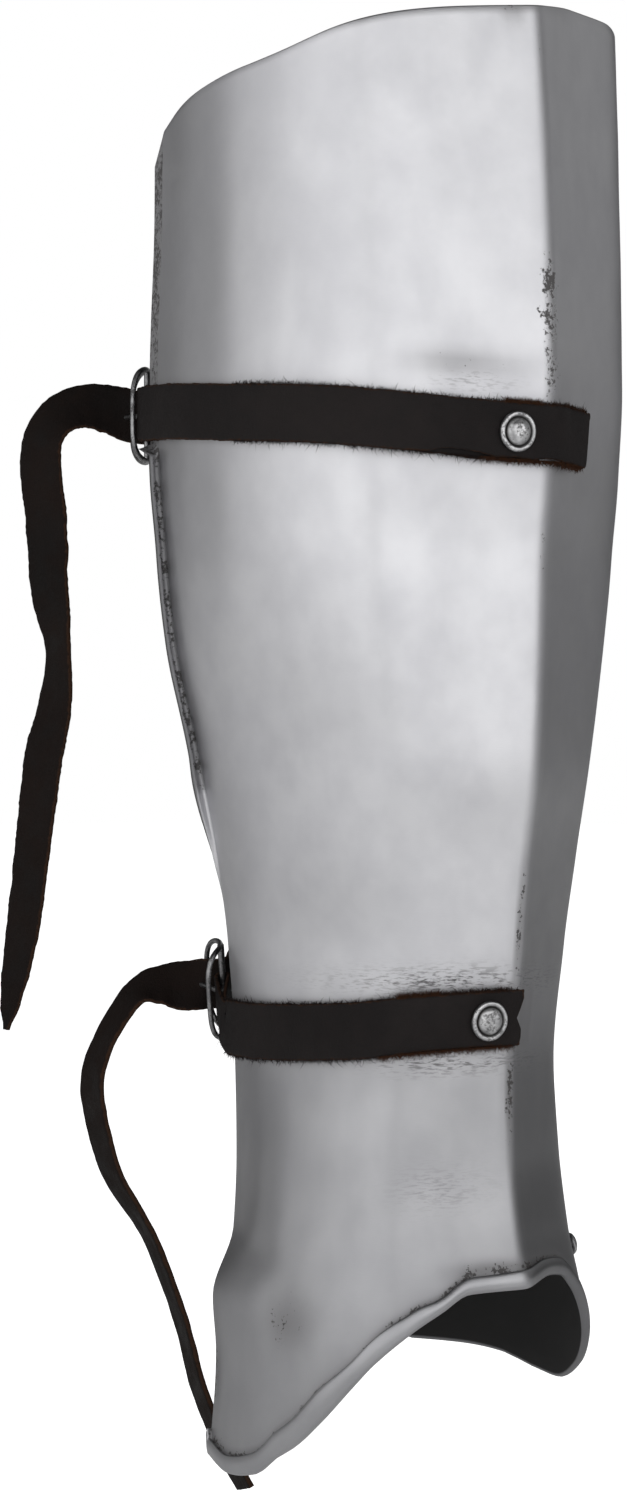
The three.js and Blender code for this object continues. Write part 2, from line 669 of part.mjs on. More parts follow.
// Long strap: from its rivet on the inner wing round behind the leg, out through the buckle and
// down in its free end.
function longStrap(axes, height, freeEnd, rivet) {
  const lift = SKIN_GAP + LONG_STRAP / 2;
  const onWing = sharesFrom(FAR_STRAP_START).map((share) => plateStation(INNER, height, share, lift));
  const leave = onWing[onWing.length - 1];
  const entry = atBuckle(axes, WINDOW + TURN_RADIUS, -TURN_RADIUS, 0);
  const round = new THREE.CubicBezierCurve3(
    leave.centre,
    leave.centre.clone().addScaledVector(inPlan(INNER, 180 + EDGE_INWARD), BACK_SLACK),
    atBuckle(axes, WINDOW + TURN_RADIUS + BACK_SLACK, -TURN_RADIUS, 0),
    entry,
  );
  const behind = round.getSpacedPoints(BACK_STEPS).slice(1).map((centre, k) => {
    const across = leave.across.clone().lerp(axes.up, (k + 1) / BACK_STEPS).normalize();
    return { centre, across, width: STRAP_WIDTH };
  });
  const turn = Array.from({ length: TURN_STEPS }, (_, k) => {
    const angle = (Math.PI / 2) * ((k + 1) / TURN_STEPS);
    const along = WINDOW + TURN_RADIUS * (1 - Math.sin(angle));
    const centre = atBuckle(axes, along, -TURN_RADIUS * Math.cos(angle), 0);
    return { centre, across: axes.up, width: STRAP_WIDTH };
  });
  return cutFrom(ribbonGeometry([...onWing, ...behind, ...turn, ...freeStations(axes, freeEnd)], LONG_STRAP), [
    prongHole(axes),
    rivet,
  ]);
}

// Stations of a free end, even steps apart on a smooth curve through its table.
function freeStations(axes, rows) {
  const plumb = { along: inPlan(OUTER, BEHIND_LEG), out: inPlan(OUTER, FROM_LEG) };
  const rowPoint = ({ out, height, toward }) => {
    const point = axes.middle.clone().setZ(height);
    return point.addScaledVector(plumb.out, out).addScaledVector(plumb.along, WINDOW - toward);
  };
  const root = atBuckle(axes, WINDOW, WINDOW_PROUD, 0);
  const points = [root, ...rows.map(rowPoint)];
  const curve = new THREE.CatmullRomCurve3(points, false, "centripetal");
  const count = Math.round(curve.getLength() / FREE_STEP);
  const edge = { ...rows[0], turned: 0 };
  const table = [edge, ...rows].map((row, k) => ({ ...row, place: k }));
  return Array.from({ length: count + 1 }, (_, k) => {
    const t = curve.getUtoTmapping(k / count);
    const centre = curve.getPoint(t);
    const along = curve.getTangent(t);
    const place = t * (points.length - 1);
    const turned = radians(readTable(table, "place", "turned", place));
    const flat = new THREE.Vector3().crossVectors(plumb.along, along).normalize();
    const upward = k === 0 ? axes.up.clone() : flat;
    const across = upward.clone().applyAxisAngle(along, turned);
    return { centre, across, width: readTable(table, "place", "width", place) };
  });
}

// Round cutter along the prong, where the long strap passes it.
function prongHole(axes) {
  const lean = radians(PRONG_LEAN);
  const way = atBuckle(axes, Math.cos(lean), Math.sin(lean), 0).sub(axes.middle);
  const root = radians(PRONG_LEAN + 90);
  const radius = BAR + GAP + PRONG;
  const centre = atBuckle(axes, radius * Math.cos(root), radius * Math.sin(root), 0);
  centre.addScaledVector(way, (WINDOW - radius * Math.cos(root)) / Math.cos(lean));
  const round = new THREE.CylinderGeometry(PRONG_HOLE, PRONG_HOLE, PRONG_HOLE_DEEP, PRONG_HOLE_SIDES);
  return alongAxis(round, centre, way);
}

// Geometry whose own Y axis is laid along a direction at a point.
function alongAxis(geometry, point, direction) {
  const turn = new THREE.Quaternion().setFromUnitVectors(new THREE.Vector3(0, 1, 0), direction);
  geometry.applyQuaternion(turn);
  geometry.translate(point.x, point.y, point.z);
  return geometry;
}

// Rivet seen from its axis: head outside what it holds, shank through it and a small head inside
// the plate. Lifts are measured out from the plate's outer face.
function rivetGeometry(head, lift) {
  const inside = -SHEET - BACK_GAP;
  const profile = [
    ...head.map(({ radius, rise }) => new THREE.Vector2(radius, lift + rise)),
    new THREE.Vector2(SHANK, lift),
    new THREE.Vector2(SHANK, inside),
    new THREE.Vector2(BACK_HEAD, inside),
    new THREE.Vector2(BACK_HEAD_TOP, inside - BACK_HEAD_RISE),
    new THREE.Vector2(0, inside - BACK_HEAD_RISE),
  ];
  return new THREE.LatheGeometry(profile.reverse(), RIVET_SIDES);
}

// Place of a rivet on the plate: its point on the outer face and its axis.
function rivetPlace(side, height, share) {
  const at = (rise, turn) => onPlate(side, height + rise, share + turn, 0);
  const rise = at(STRAP_WIDTH / 2, 0).sub(at(-STRAP_WIDTH / 2, 0));
  const run = at(0, RIVET_SPAN).sub(at(0, -RIVET_SPAN));
  const outward = new THREE.Vector3().crossVectors(run, rise).multiplyScalar(side).normalize();
  return { point: at(0, 0), outward };
}

function holeAt({ point, outward }) {
  return alongAxis(new THREE.CylinderGeometry(HOLE, HOLE, HOLE_DEEP, HOLE_SIDES), point, outward);
}

function makeMesh(name, geometry, finish) {
  const mesh = new THREE.Mesh(geometry, new THREE.MeshStandardMaterial(finish));
  mesh.name = name;
  return mesh;
}

function makeRivet(name, head, place, lift) {
  const mesh = makeMesh(name, rivetGeometry(head, lift), RIVET_STEEL);
  mesh.quaternion.setFromUnitVectors(new THREE.Vector3(0, 1, 0), place.outward);
  mesh.position.copy(place.point);
  return mesh;
}

function makeGreave() {
  const group = new THREE.Group();
  const upperAxes = buckleAxes(UPPER_BUCKLE);
  const lowerAxes = buckleAxes(LOWER_BUCKLE);
  const strapTop = SKIN_GAP + GAP / 2 + 2 * LAYER + GAP;
  const places = {
    upperNear: rivetPlace(OUTER, readTable(UPPER_LINE, "share", "height", UPPER_RIVET), UPPER_RIVET),
    lowerNear: rivetPlace(OUTER, readTable(LOWER_LINE, "share", "height", LOWER_RIVET), LOWER_RIVET),
    upperFar: rivetPlace(INNER, UPPER_FAR_HEIGHT, FAR_RIVET),
    lowerFar: rivetPlace(INNER, LOWER_FAR_HEIGHT, FAR_RIVET),
  };
  const stud = rivetPlace(INNER, STUD.height, STUD.share);
  const holes = [...Object.values(places), stud].map(holeAt);
  group.add(makeMesh("greave_plate", cutFrom(plateGeometry(), holes), STEEL));

  const upperHole = holeAt(places.upperNear);
  const upperStrap = buckleStrap(UPPER_LINE, upperAxes, UPPER_LOOP, UPPER_PAST_RIDGE, upperHole);
  const lowerStrap = buckleStrap(LOWER_LINE, lowerAxes, LOWER_LOOP, [], holeAt(places.lowerNear));
  group.add(makeMesh("upper_buckle_strap", upperStrap, LEATHER));
  group.add(makeMesh("lower_buckle_strap", lowerStrap, LEATHER));

  const upperLong = longStrap(upperAxes, UPPER_FAR_HEIGHT, UPPER_FREE_END, holeAt(places.upperFar));
  const lowerLong = longStrap(lowerAxes, LOWER_FAR_HEIGHT, LOWER_FREE_END, holeAt(places.lowerFar));
  group.add(makeMesh("upper_long_strap", upperLong, LEATHER));
  group.add(makeMesh("lower_long_strap", lowerLong, LEATHER));

  group.add(placeAtBuckle(makeMesh("upper_buckle_frame", frameGeometry(), RIVET_STEEL), upperAxes));
  group.add(placeAtBuckle(makeMesh("lower_buckle_frame", frameGeometry(), RIVET_STEEL), lowerAxes));
  group.add(placeAtBuckle(makeMesh("upper_buckle_prong", prongGeometry(), RIVET_STEEL), upperAxes));
  group.add(placeAtBuckle(makeMesh("lower_buckle_prong", prongGeometry(), RIVET_STEEL), lowerAxes));

  group.add(makeRivet("upper_near_rivet", RIVET_HEAD, places.upperNear, strapTop));
  group.add(makeRivet("lower_near_rivet", RIVET_HEAD, places.lowerNear, strapTop));
  const longTop = SKIN_GAP + LONG_STRAP + GAP;
  group.add(makeRivet("upper_far_rivet", RIVET_HEAD, places.upperFar, longTop));
  group.add(makeRivet("lower_far_rivet", RIVET_HEAD, places.lowerFar, longTop));
  group.add(makeRivet("rim_stud", STUD_HEAD, stud, 2 * GAP));
  return group;
}

export default makeGreave();
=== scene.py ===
"""Looks of a plate greave with two buckled leather straps, built round its fixed frame.

Lengths are millimetres in the greave's own frame: +Z is up, the ridge of the shin faces -Y, the
outer wing with the buckles lies on -X and the inner wing on +X. Meshes are in metres, and angles
are degrees.
"""

import bisect
import logging
import math
import random
from collections.abc import Sequence
from dataclasses import dataclass, field, replace
from enum import Enum, IntEnum

import bpy
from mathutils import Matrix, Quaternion, Vector, noise


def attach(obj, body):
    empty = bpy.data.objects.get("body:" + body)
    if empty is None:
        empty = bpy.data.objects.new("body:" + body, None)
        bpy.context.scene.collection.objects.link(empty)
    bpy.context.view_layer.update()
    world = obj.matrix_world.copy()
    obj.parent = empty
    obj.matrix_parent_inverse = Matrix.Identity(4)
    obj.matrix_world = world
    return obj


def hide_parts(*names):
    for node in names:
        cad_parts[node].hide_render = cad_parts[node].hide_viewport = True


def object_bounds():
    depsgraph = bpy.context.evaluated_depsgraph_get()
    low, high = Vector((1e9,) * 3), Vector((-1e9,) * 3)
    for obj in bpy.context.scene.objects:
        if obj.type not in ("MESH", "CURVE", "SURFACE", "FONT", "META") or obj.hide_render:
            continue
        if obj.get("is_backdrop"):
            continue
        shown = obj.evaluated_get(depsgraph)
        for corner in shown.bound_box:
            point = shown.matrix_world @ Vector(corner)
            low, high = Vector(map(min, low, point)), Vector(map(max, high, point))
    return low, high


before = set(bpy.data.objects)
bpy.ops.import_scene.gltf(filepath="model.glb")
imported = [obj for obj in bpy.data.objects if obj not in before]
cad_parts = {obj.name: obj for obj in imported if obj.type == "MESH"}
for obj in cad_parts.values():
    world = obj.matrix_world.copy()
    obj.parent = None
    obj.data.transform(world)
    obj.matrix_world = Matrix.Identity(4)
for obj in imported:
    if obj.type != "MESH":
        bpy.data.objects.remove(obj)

log = logging.getLogger("greave")

Colour = tuple[float, float, float, float]
Faces = list[tuple[int, ...]]

MM = 0.001
UP = Vector((0, 0, 1))
BODY = "root"
SKIN_GAP = 0.6
LAYER = 1.2
LAYER_GAP = 0.3
LONG_STRAP = 1.8
HEAD_GAP = 0.3
DOUBLED_TOP = SKIN_GAP + LAYER_GAP / 2 + 2 * LAYER + HEAD_GAP
SINGLE_TOP = SKIN_GAP + LONG_STRAP + HEAD_GAP
UPPER_LEVEL = 99.3
LOWER_FAR_LEVEL = -64.0

# Directions in plan at the outer wing's back edge: on behind the leg, and off the wing's face.
PAST_WING = 225.0
OFF_WING = 135.0

FREE_END_FACE: Colour = (0.006, 0.0045, 0.004, 1)
FREE_END_WORN: Colour = (0.013, 0.008, 0.0065, 1)
FIBRE_FACE: Colour = (0.012, 0.008, 0.007, 1)
FIBRE_CUT: Colour = (0.07, 0.028, 0.012, 1)


class Slot(Enum):
    """Material slots of the record."""

    PLATE = "plate_steel"
    FITTING = "fitting_steel"
    LEATHER = "strap_leather"


class Zone(Enum):
    """Stretches of the plate's upright outline."""

    OUTER = "outer face"
    GROOVE = "groove over the hem"
    HEM = "hem"
    INNER = "inner face"


class Wing(IntEnum):
    """The plate's wings, by the sign of X on their side."""

    OUTER = -1
    INNER = 1


OUTER, INNER = Wing.OUTER, Wing.INNER


@dataclass(frozen=True)
class Section:
    """Outline of the plate's outer face in plan at one height."""

    height: float
    ridge: float
    half_width: float
    fold_back: float
    fold_out: float


@dataclass(frozen=True)
class Strip:
    """Strip of sheet behind the fold of a wing at one height."""

    height: float
    width: float
    turned: float


@dataclass(frozen=True)
class Edge:
    """Height of an edge or a strap at one share of a wing, with the height of its hem."""

    share: float
    height: float
    hem: float = 0.0


@dataclass(frozen=True)
class FreeEnd:
    """One place on a strap's free end beyond its buckle."""

    out: float
    height: float
    toward: float
    width: float
    turned: float


@dataclass(frozen=True)
class Turned:
    """One place on the outline of a turned head."""

    radius: float
    rise: float


@dataclass(frozen=True)
class Mark:
    """A dent, stain or patch of scratches on the plate, by its place and reach."""

    side: Wing
    share: float
    height: float
    long: float
    tall: float
    strength: float

    def amount(self, place: float, height: float, wing: float) -> float:
        """Returns how strongly the mark acts at a place of the plate.

        Args:
            place: Share of the way from the ridge, less than nothing on the outer wing.
            height: Height there.
            wing: Length of the wing in plan.

        Returns:
            The mark's strength there, nothing beyond three times its reach.
        """
        away = (place - self.side * self.share) * wing
        rise = height - self.height
        if abs(rise) > 3 * self.tall or abs(away) > 3 * self.long:
            return 0.0
        return math.exp(-((away / self.long) ** 2) - (rise / self.tall) ** 2) * self.strength


@dataclass(frozen=True)
class Wear:
    """A stretch of a strap's edge that is worn away or sticks out.

    Its place is counted from the strap's start, and back from its end where it is below nothing.
    """

    place: float
    reach: float
    hand: int
    moved: float

    def out(self, length: float, end: float) -> float:
        """Returns how far the edge is moved out at a length along a strap that ends at end."""
        place = self.place if self.place >= 0 else end + self.place
        return self.moved * math.exp(-(((length - place) / self.reach) ** 4))


@dataclass(frozen=True)
class Tuft:
    """A stretch of one cut edge that has loose fibres, counted back from the strap's end."""

    start: float
    stop: float
    hand: int
    count: int
    length: float
    brown: float = 0.5
    depth: float = 1.0


@dataclass(frozen=True)
class Light:
    """A soft rectangular light that faces the greave, in metres.

    Its turn is to the right of the camera, and its rise is above the horizon.
    """

    name: str
    turn: float
    rise: float
    far: float
    wide: float
    tall: float
    glow: float


def table(record: type, *rows: tuple) -> tuple:
    """Returns a table's rows as records, whose fields name its columns in order."""
    return tuple(record(*row) for row in rows)


SECTIONS = table(
    Section,
    (215, 52.5, 64.5, 50.5, 49.5),
    (160, 56.2, 63.5, 50, 50),
    (107, 58, 63.5, 52, 50),
    (80, 56.6, 62, 50.8, 50),
    (56, 54.4, 60.5, 48, 50),
    (31, 53.6, 57, 45.5, 48.5),
    (0, 51.8, 51.5, 41, 44),
    (-31, 47.7, 47, 38.5, 39),
    (-57, 44.9, 42.5, 36.7, 36),
    (-90, 41.5, 40.5, 36.3, 33.7),
    (-116, 42.1, 43, 36.3, 33),
    (-139, 44.8, 45.3, 36, 34.5),
    (-159, 49, 48.5, 38, 41),
    (-175, 51, 49.5, 36.5, 41),
    (-212, 52, 50, 39, 42),
)
BACK_STRIP = table(
    Strip,
    (215, 10, 0),
    (90, 10, 0),
    (86, 8, 165),
    (0, 8, 165),
    (-15, 5.5, 120),
    (-30, 3, 75),
    (-45, 1.5, 0),
    (-212, 1.5, 0),
)
OUTER_TOP = table(
    Edge, (0, 211), (0.15, 208), (0.3, 204.5), (0.45, 200.5), (0.6, 195), (0.75, 190), (0.9, 185.5), (1, 181),
    (1.2, 172),
)
INNER_TOP = table(
    Edge, (0, 211), (0.1, 213), (0.25, 213), (0.4, 210.5), (0.6, 203), (0.8, 192), (1, 181), (1.2, 172)
)
OUTER_BOTTOM = table(
    Edge,
    (0, -153, 5.5),
    (0.12, -153.5, 4.5),
    (0.2, -158, 4.5),
    (0.3, -163.5, 6),
    (0.42, -171.5, 7),
    (0.5, -179.5, 7.5),
    (0.58, -189.5, 9.5),
    (0.65, -198.5, 8),
    (0.75, -207, 6),
    (0.86, -208.5, 5.5),
    (1, -205.5, 5),
    (1.2, -202, 4.5),
)
INNER_BOTTOM = table(
    Edge,
    (0, -153, 5.5),
    (0.1, -151, 5),
    (0.17, -152, 5),
    (0.24, -157, 5.5),
    (0.32, -165, 6),
    (0.4, -174, 6),
    (0.48, -182, 6),
    (0.56, -186.5, 6),
    (0.62, -185, 6),
    (0.7, -181.5, 5.5),
    (0.85, -180, 5),
    (1.2, -179, 5),
)
UPPER_LINE = table(Edge, (0, 89), (0.3, 91.1), (0.55, 93.5), (0.8, 96.5), (1, 98.4), (1.3, 99.3))
LOWER_LINE = table(
    Edge, (0, -76), (0.3, -77.2), (0.55, -79.5), (0.8, -81), (1, -80.8), (1.2, -79.8), (1.3, -78)
)
UPPER_PAST_RIDGE = table(Edge, (0.03, 88.8), (0.06, 88.6), (0.09, 88.3))
UPPER_FREE_END = table(
    FreeEnd,
    (12, 102, 0, 15.4, 20),
    (18, 102.6, 1, 15.4, 28),
    (23.5, 101.4, 2, 15.4, 34),
    (28.2, 98, 3, 15.4, 38),
    (31.3, 92.6, 3, 15.4, 38),
    (32, 85, 2, 15.4, 36),
    (30.4, 68, 0, 15.4, 35),
    (29.6, 48, -2, 15.4, 42),
    (27, 29, -3, 15.4, 61),
    (28.3, 12, -3, 15.4, 48),
    (31, 0, -2, 15.4, 40),
    (34.5, -29, 0, 15.4, 45),
    (37.2, -52, 1, 14.6, 46),
    (39.3, -65, 1, 12, 44),
    (41.1, -75.5, 1, 7.5, 40),
    (42.3, -83.5, 1, 1.2, 38),
)
LOWER_FREE_END = table(
    FreeEnd,
    (12, -70, 0, 15, 20),
    (20, -69.8, 1, 15, 48),
    (26, -72, 2, 15, 64),
    (31.5, -79, 3, 15, 66),
    (36, -87.5, 3, 15, 66),
    (39, -98, 2, 15, 63),
    (37.3, -112, 0, 15, 63),
    (32.8, -126.5, 0, 15, 66),
    (22.3, -144, 0, 15, 73),
    (12.5, -170, 0, 15, 74),
    (6.9, -191, 0, 15, 72),
    (-2.5, -212, 0, 15, 68),
    (-6.5, -219, 0, 12, 66),
)
RIVET_HEAD = table(
    Turned, (0, 2), (2.6, 1.9), (3.8, 1.1), (4.1, 0.6), (4.6, 1.2), (5.4, 1.2), (5.75, 0.6), (5.6, 0)
)
STUD_HEAD = table(Turned, (0, 1.7), (1.7, 1.45), (2.9, 0.8), (3.4, 0))
DENTS = table(
    Mark,
    (OUTER, 0.36, 106, 9, 7, 0.28),
    (OUTER, 0.36, 84, 8, 7, 0.4),
    (OUTER, 0.70, -158, 8, 10, 0.4),
    (OUTER, 0.82, -146, 8, 4, 0.7),
    (OUTER, 0.5, 60, 22, 30, 0.35),
    (INNER, 0.3, 120, 18, 30, 0.5),
    (INNER, 0.5, -20, 20, 30, 0.4),
)
STAINS = table(
    Mark,
    (OUTER, 0.66, -163, 5, 8, 0.85),
    (OUTER, 0.82, -147, 9, 4, 0.45),
    (OUTER, 0.99, -182, 3, 9, 0.8),
    (OUTER, 0.04, 212, 2, 6, 1),
    (OUTER, 0.1, 213, 9, 3, 0.6),
    (INNER, 0.05, 212, 5, 4, 0.6),
    (OUTER, 0.16, 108, 13, 3.5, 0.6),
    (OUTER, 0.95, 168, 6, 2, 0.35),
    (OUTER, 0.05, -147, 9, 2.5, 0.7),
    (INNER, 0.9, 0, 12, 90, 0.35),
    (OUTER, 0.003, -52, 0.8, 19, 1),
    (OUTER, 0.003, -99, 0.8, 14, 1),
)
SCRATCHES = table(
    Mark,
    (OUTER, 0.2, -65.5, 24, 3.5, 1),
    (OUTER, 0.18, -88.5, 20, 2.5, 0.8),
    (OUTER, 0.14, 104, 10, 5, 0.35),
    (OUTER, 0.2, -124, 12, 6, 0.2),
)
CREASE_MARKS = table(
    Mark,
    (OUTER, 0, 196, 1.5, 16, 0.6),
    (OUTER, 0, 130, 3, 19, 1),
    (OUTER, 0, 105, 2.6, 8, 0.8),
    (OUTER, 0, 60, 2.6, 20, 0.7),
    (OUTER, 0, -47, 1.3, 24, 1),
    (OUTER, 0, -98, 1.3, 16, 1),
)
UPPER_WEAR = table(Wear, (-52, 9, -1, -1.7), (-22, 20, -1, -0.5), (12, 16, -1, 0.5))
LOWER_WEAR = table(Wear, (-20, 16, -1, -0.3), (10, 10, -1, 0.4))
TUFTS = table(
    Tuft,
    (125, 1, 1, 1500, 1.7),
    (125, 1, -1, 1500, 1.9),
    (120, 2, 1, 110, 3.2),
    (120, 2, -1, 170, 3.8),
    (45, 3, -1, 1100, 2.8, 1.0, 2.5),
    (38, 26, 1, 600, 2.5, 0.9, 2.0),
    (26, 4, 1, 450, 1.9, 0.7, 2.0),
)
LIGHTS = table(
    Light,
    ("right front", 46, 8, 1.6, 2.1, 1.8, 1.3),
    ("left front", -20, 8, 1.6, 1.8, 1.8, 1.22),
    ("left side", -70, 8, 1.7, 1.2, 1.8, 1.12),
    ("left behind", -120, 10, 1.7, 0.9, 1.6, 0.27),
    ("right side", 124, 22, 1.7, 0.9, 1.0, 0.3),
    ("behind", 172, 12, 1.8, 0.45, 1.2, 0.6),
)


def lerp(a: float, b: float, t: float) -> float:
    """Returns the value a share t of the way from a to b."""
    return a + (b - a) * t


def clamp(value: float) -> float:
    """Returns a value held between 0 and 1."""
    return min(max(value, 0.0), 1.0)


def noise_at(x: float, y: float, z: float) -> float:
    """Returns smooth noise at a place, from about -1 to 1."""
    return noise.noise(Vector((x, y, z)))


def whole_turn(count: int) -> list[float]:
    """Returns evenly spaced angles of a whole turn, in radians."""
    return [2 * math.pi * k / count for k in range(count)]


def in_plan(side: int, degrees: float) -> Vector:
    """Returns the direction in plan, 0 straight ahead, 90 out to the wing's side, 180 back."""
    angle = math.radians(degrees)
    return Vector((side * math.sin(angle), -math.cos(angle), 0))


class TableCurve:
    """Smooth curve through one column of a table, held at its ends."""

    def __init__(self, rows: Sequence[object], key: str, column: str) -> None:
        """Keeps the column's values and slopes.

        Args:
            rows: Rows of the table.
            key: Column that the places are in.
            column: Column that the values are in.
        """
        ordered = sorted(rows, key=lambda row: getattr(row, key))
        self.places = [float(getattr(row, key)) for row in ordered]
        self.values = [float(getattr(row, column)) for row in ordered]
        spans = zip(self.places, self.places[1:], self.values, self.values[1:])
        steps = [(end - start) / (there - here) for here, there, start, end in spans]
        inner = [2 * a * b / (a + b) if a * b > 0 else 0.0 for a, b in zip(steps, steps[1:])]
        self.slopes = [steps[0], *inner, steps[-1]]

    def __call__(self, place: float) -> float:
        """Returns the column's value at a place.

        Args:
            place: Place in the key column.

        Returns:
            The value there, or the end's value beyond the table.
        """
        clamped = min(max(place, self.places[0]), self.places[-1])
        i = min(bisect.bisect_right(self.places, clamped) - 1, len(self.places) - 2)
        span = self.places[i + 1] - self.places[i]
        t = (clamped - self.places[i]) / span
        rise = t * t * (3 - 2 * t)
        bend = (1 - t) * self.slopes[i] - t * self.slopes[i + 1]
        return lerp(self.values[i], self.values[i + 1], rise) + span * t * (1 - t) * bend


def bezier(points: Sequence[Vector], t: float) -> tuple[Vector, Vector]:
    """Returns the point and the direction of a cubic curve.

    Args:
        points: Its two ends and two handles, in order.
        t: Share of the way along it.

    Returns:
        The point and the unit direction there.
    """
    a, b, c, d = points
    s = 1 - t
    point = a * s**3 + b * (3 * s * s * t) + c * (3 * s * t * t) + d * t**3
    way = (b - a) * (s * s) + (c - b) * (2 * s * t) + (d - c) * (t * t)
    return point, way.normalized()


def smooth_path(points: Sequence[Vector], per_span: int) -> list[tuple[Vector, float]]:
    """Runs an even smooth curve through points.

    Args:
        points: Points that the curve passes.
        per_span: Steps from each point to the next.

    Returns:
        Points of the curve, each with its place counted in spans.
    """
    path = []
    last = len(points) - 1
    for i in range(last):
        p1, p2 = points[i], points[i + 1]
        p0 = points[i - 1] if i > 0 else p1 * 2 - p2
        p3 = points[i + 2] if i + 2 <= last else p2 * 2 - p1
        d0, d1, d2 = (max(math.sqrt((b - a).length), 1e-4) for a, b in ((p0, p1), (p1, p2), (p2, p3)))
        start = ((p1 - p0) / d0 - (p2 - p0) / (d0 + d1) + (p2 - p1) / d1) * d1
        end = ((p2 - p1) / d1 - (p3 - p1) / (d1 + d2) + (p3 - p2) / d2) * d1
        for k in range(per_span):
            t = k / per_span
            bend = p1 * (2 * t**3 - 3 * t * t + 1) + p2 * (3 * t * t - 2 * t**3)
            path.append((bend + start * (t**3 - 2 * t * t + t) + end * (t**3 - t * t), i + t))
    path.append((points[-1].copy(), float(last)))
    return path


def ring_faces(count: int, size: int, closed: bool = False) -> Faces:
    """Returns the four-sided faces between rings of points that follow each other.

    Args:
        count: Number of rings.
        size: Points in a ring.
        closed: Whether the last ring meets the first.

    Returns:
        The faces.
    """
    faces = []
    for i in range(count if closed else count - 1):
        here, there = i * size, ((i + 1) % count) * size
        for j in range(size):
            k = (j + 1) % size
            faces.append((here + j, here + k, there + k, there + j))
    return faces


def capped_faces(count: int, size: int) -> Faces:
    """Returns the faces between open rings of points, with a many-sided face on either end."""
    last = (count - 1) * size
    return [*ring_faces(count, size), tuple(reversed(range(size))), tuple(range(last, last + size))]


def strip_faces(count: int, size: int) -> Faces:
    """Returns the faces of a flat strip, whose end rings are filled across from edge to edge.

    Args:
        count: Number of rings.
        size: Points in a ring, half of them on either side of the strip.

    Returns:
        The faces.
    """
    faces = ring_faces(count, size)
    end = (count - 1) * size
    for k in range(size // 2 - 1):
        faces.append((k, size - 1 - k, size - 2 - k, k + 1))
        faces.append((end + k, end + k + 1, end + size - 2 - k, end + size - 1 - k))
    return faces


def outward(points: Sequence[Vector], faces: Faces) -> Faces:
    """Turns all faces of a closed surface so that they point out.

    Args:
        points: Points of the surface.
        faces: Its faces, all turned alike.

    Returns:
        The faces, turned over if they pointed in.
    """
    volume = 0.0
    for face in faces:
        for j in range(1, len(face) - 1):
            a, b, c = points[face[0]], points[face[j]], points[face[j + 1]]
            volume += a.dot(b.cross(c))
    return faces if volume > 0 else [tuple(reversed(face)) for face in faces]


def mesh_piece(
    name: str,
    points: Sequence[Vector],
    faces: Faces,
    masks: dict[str, Sequence[float]],
) -> bpy.types.Object:
    """Makes an object from points in millimetres.

    Args:
        name: Name of the piece.
        points: Its points.
        faces: Its faces, as places in the points.
        masks: Values for each point that the finishes read, by name.

    Returns:
        The smooth-shaded object.
    """
    mesh = bpy.data.meshes.new(name)
    mesh.from_pydata([point * MM for point in points], [], faces)
    for mask, values in masks.items():
        mesh.attributes.new(mask, "FLOAT", "POINT").data.foreach_set("value", list(values))
    mesh.validate()
    mesh.shade_smooth()
    piece = bpy.data.objects.new(name, mesh)
    bpy.context.scene.collection.objects.link(piece)
    return piece


def finish_piece(piece: bpy.types.Object, slot: Slot, material: bpy.types.Material, *nodes: str) -> None:
    """Gives a piece its material and fastens it to the frame.

    Args:
        piece: The piece.
        slot: Slot of the record that its finish comes from; not used.
        material: Its material.
        nodes: Solids of the frame that it stands for.
    """
    piece.data.materials.clear()
    piece.data.materials.append(material)
    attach(piece, BODY)
    if nodes:
        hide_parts(*nodes)
    log.info("%s: %d faces", piece.name, len(piece.data.polygons))


@dataclass
class Station:
    """One place along a strap: its middle, the direction across it and its width."""

    centre: Vector
    across: Vector
    width: float
    along: float = 0.0


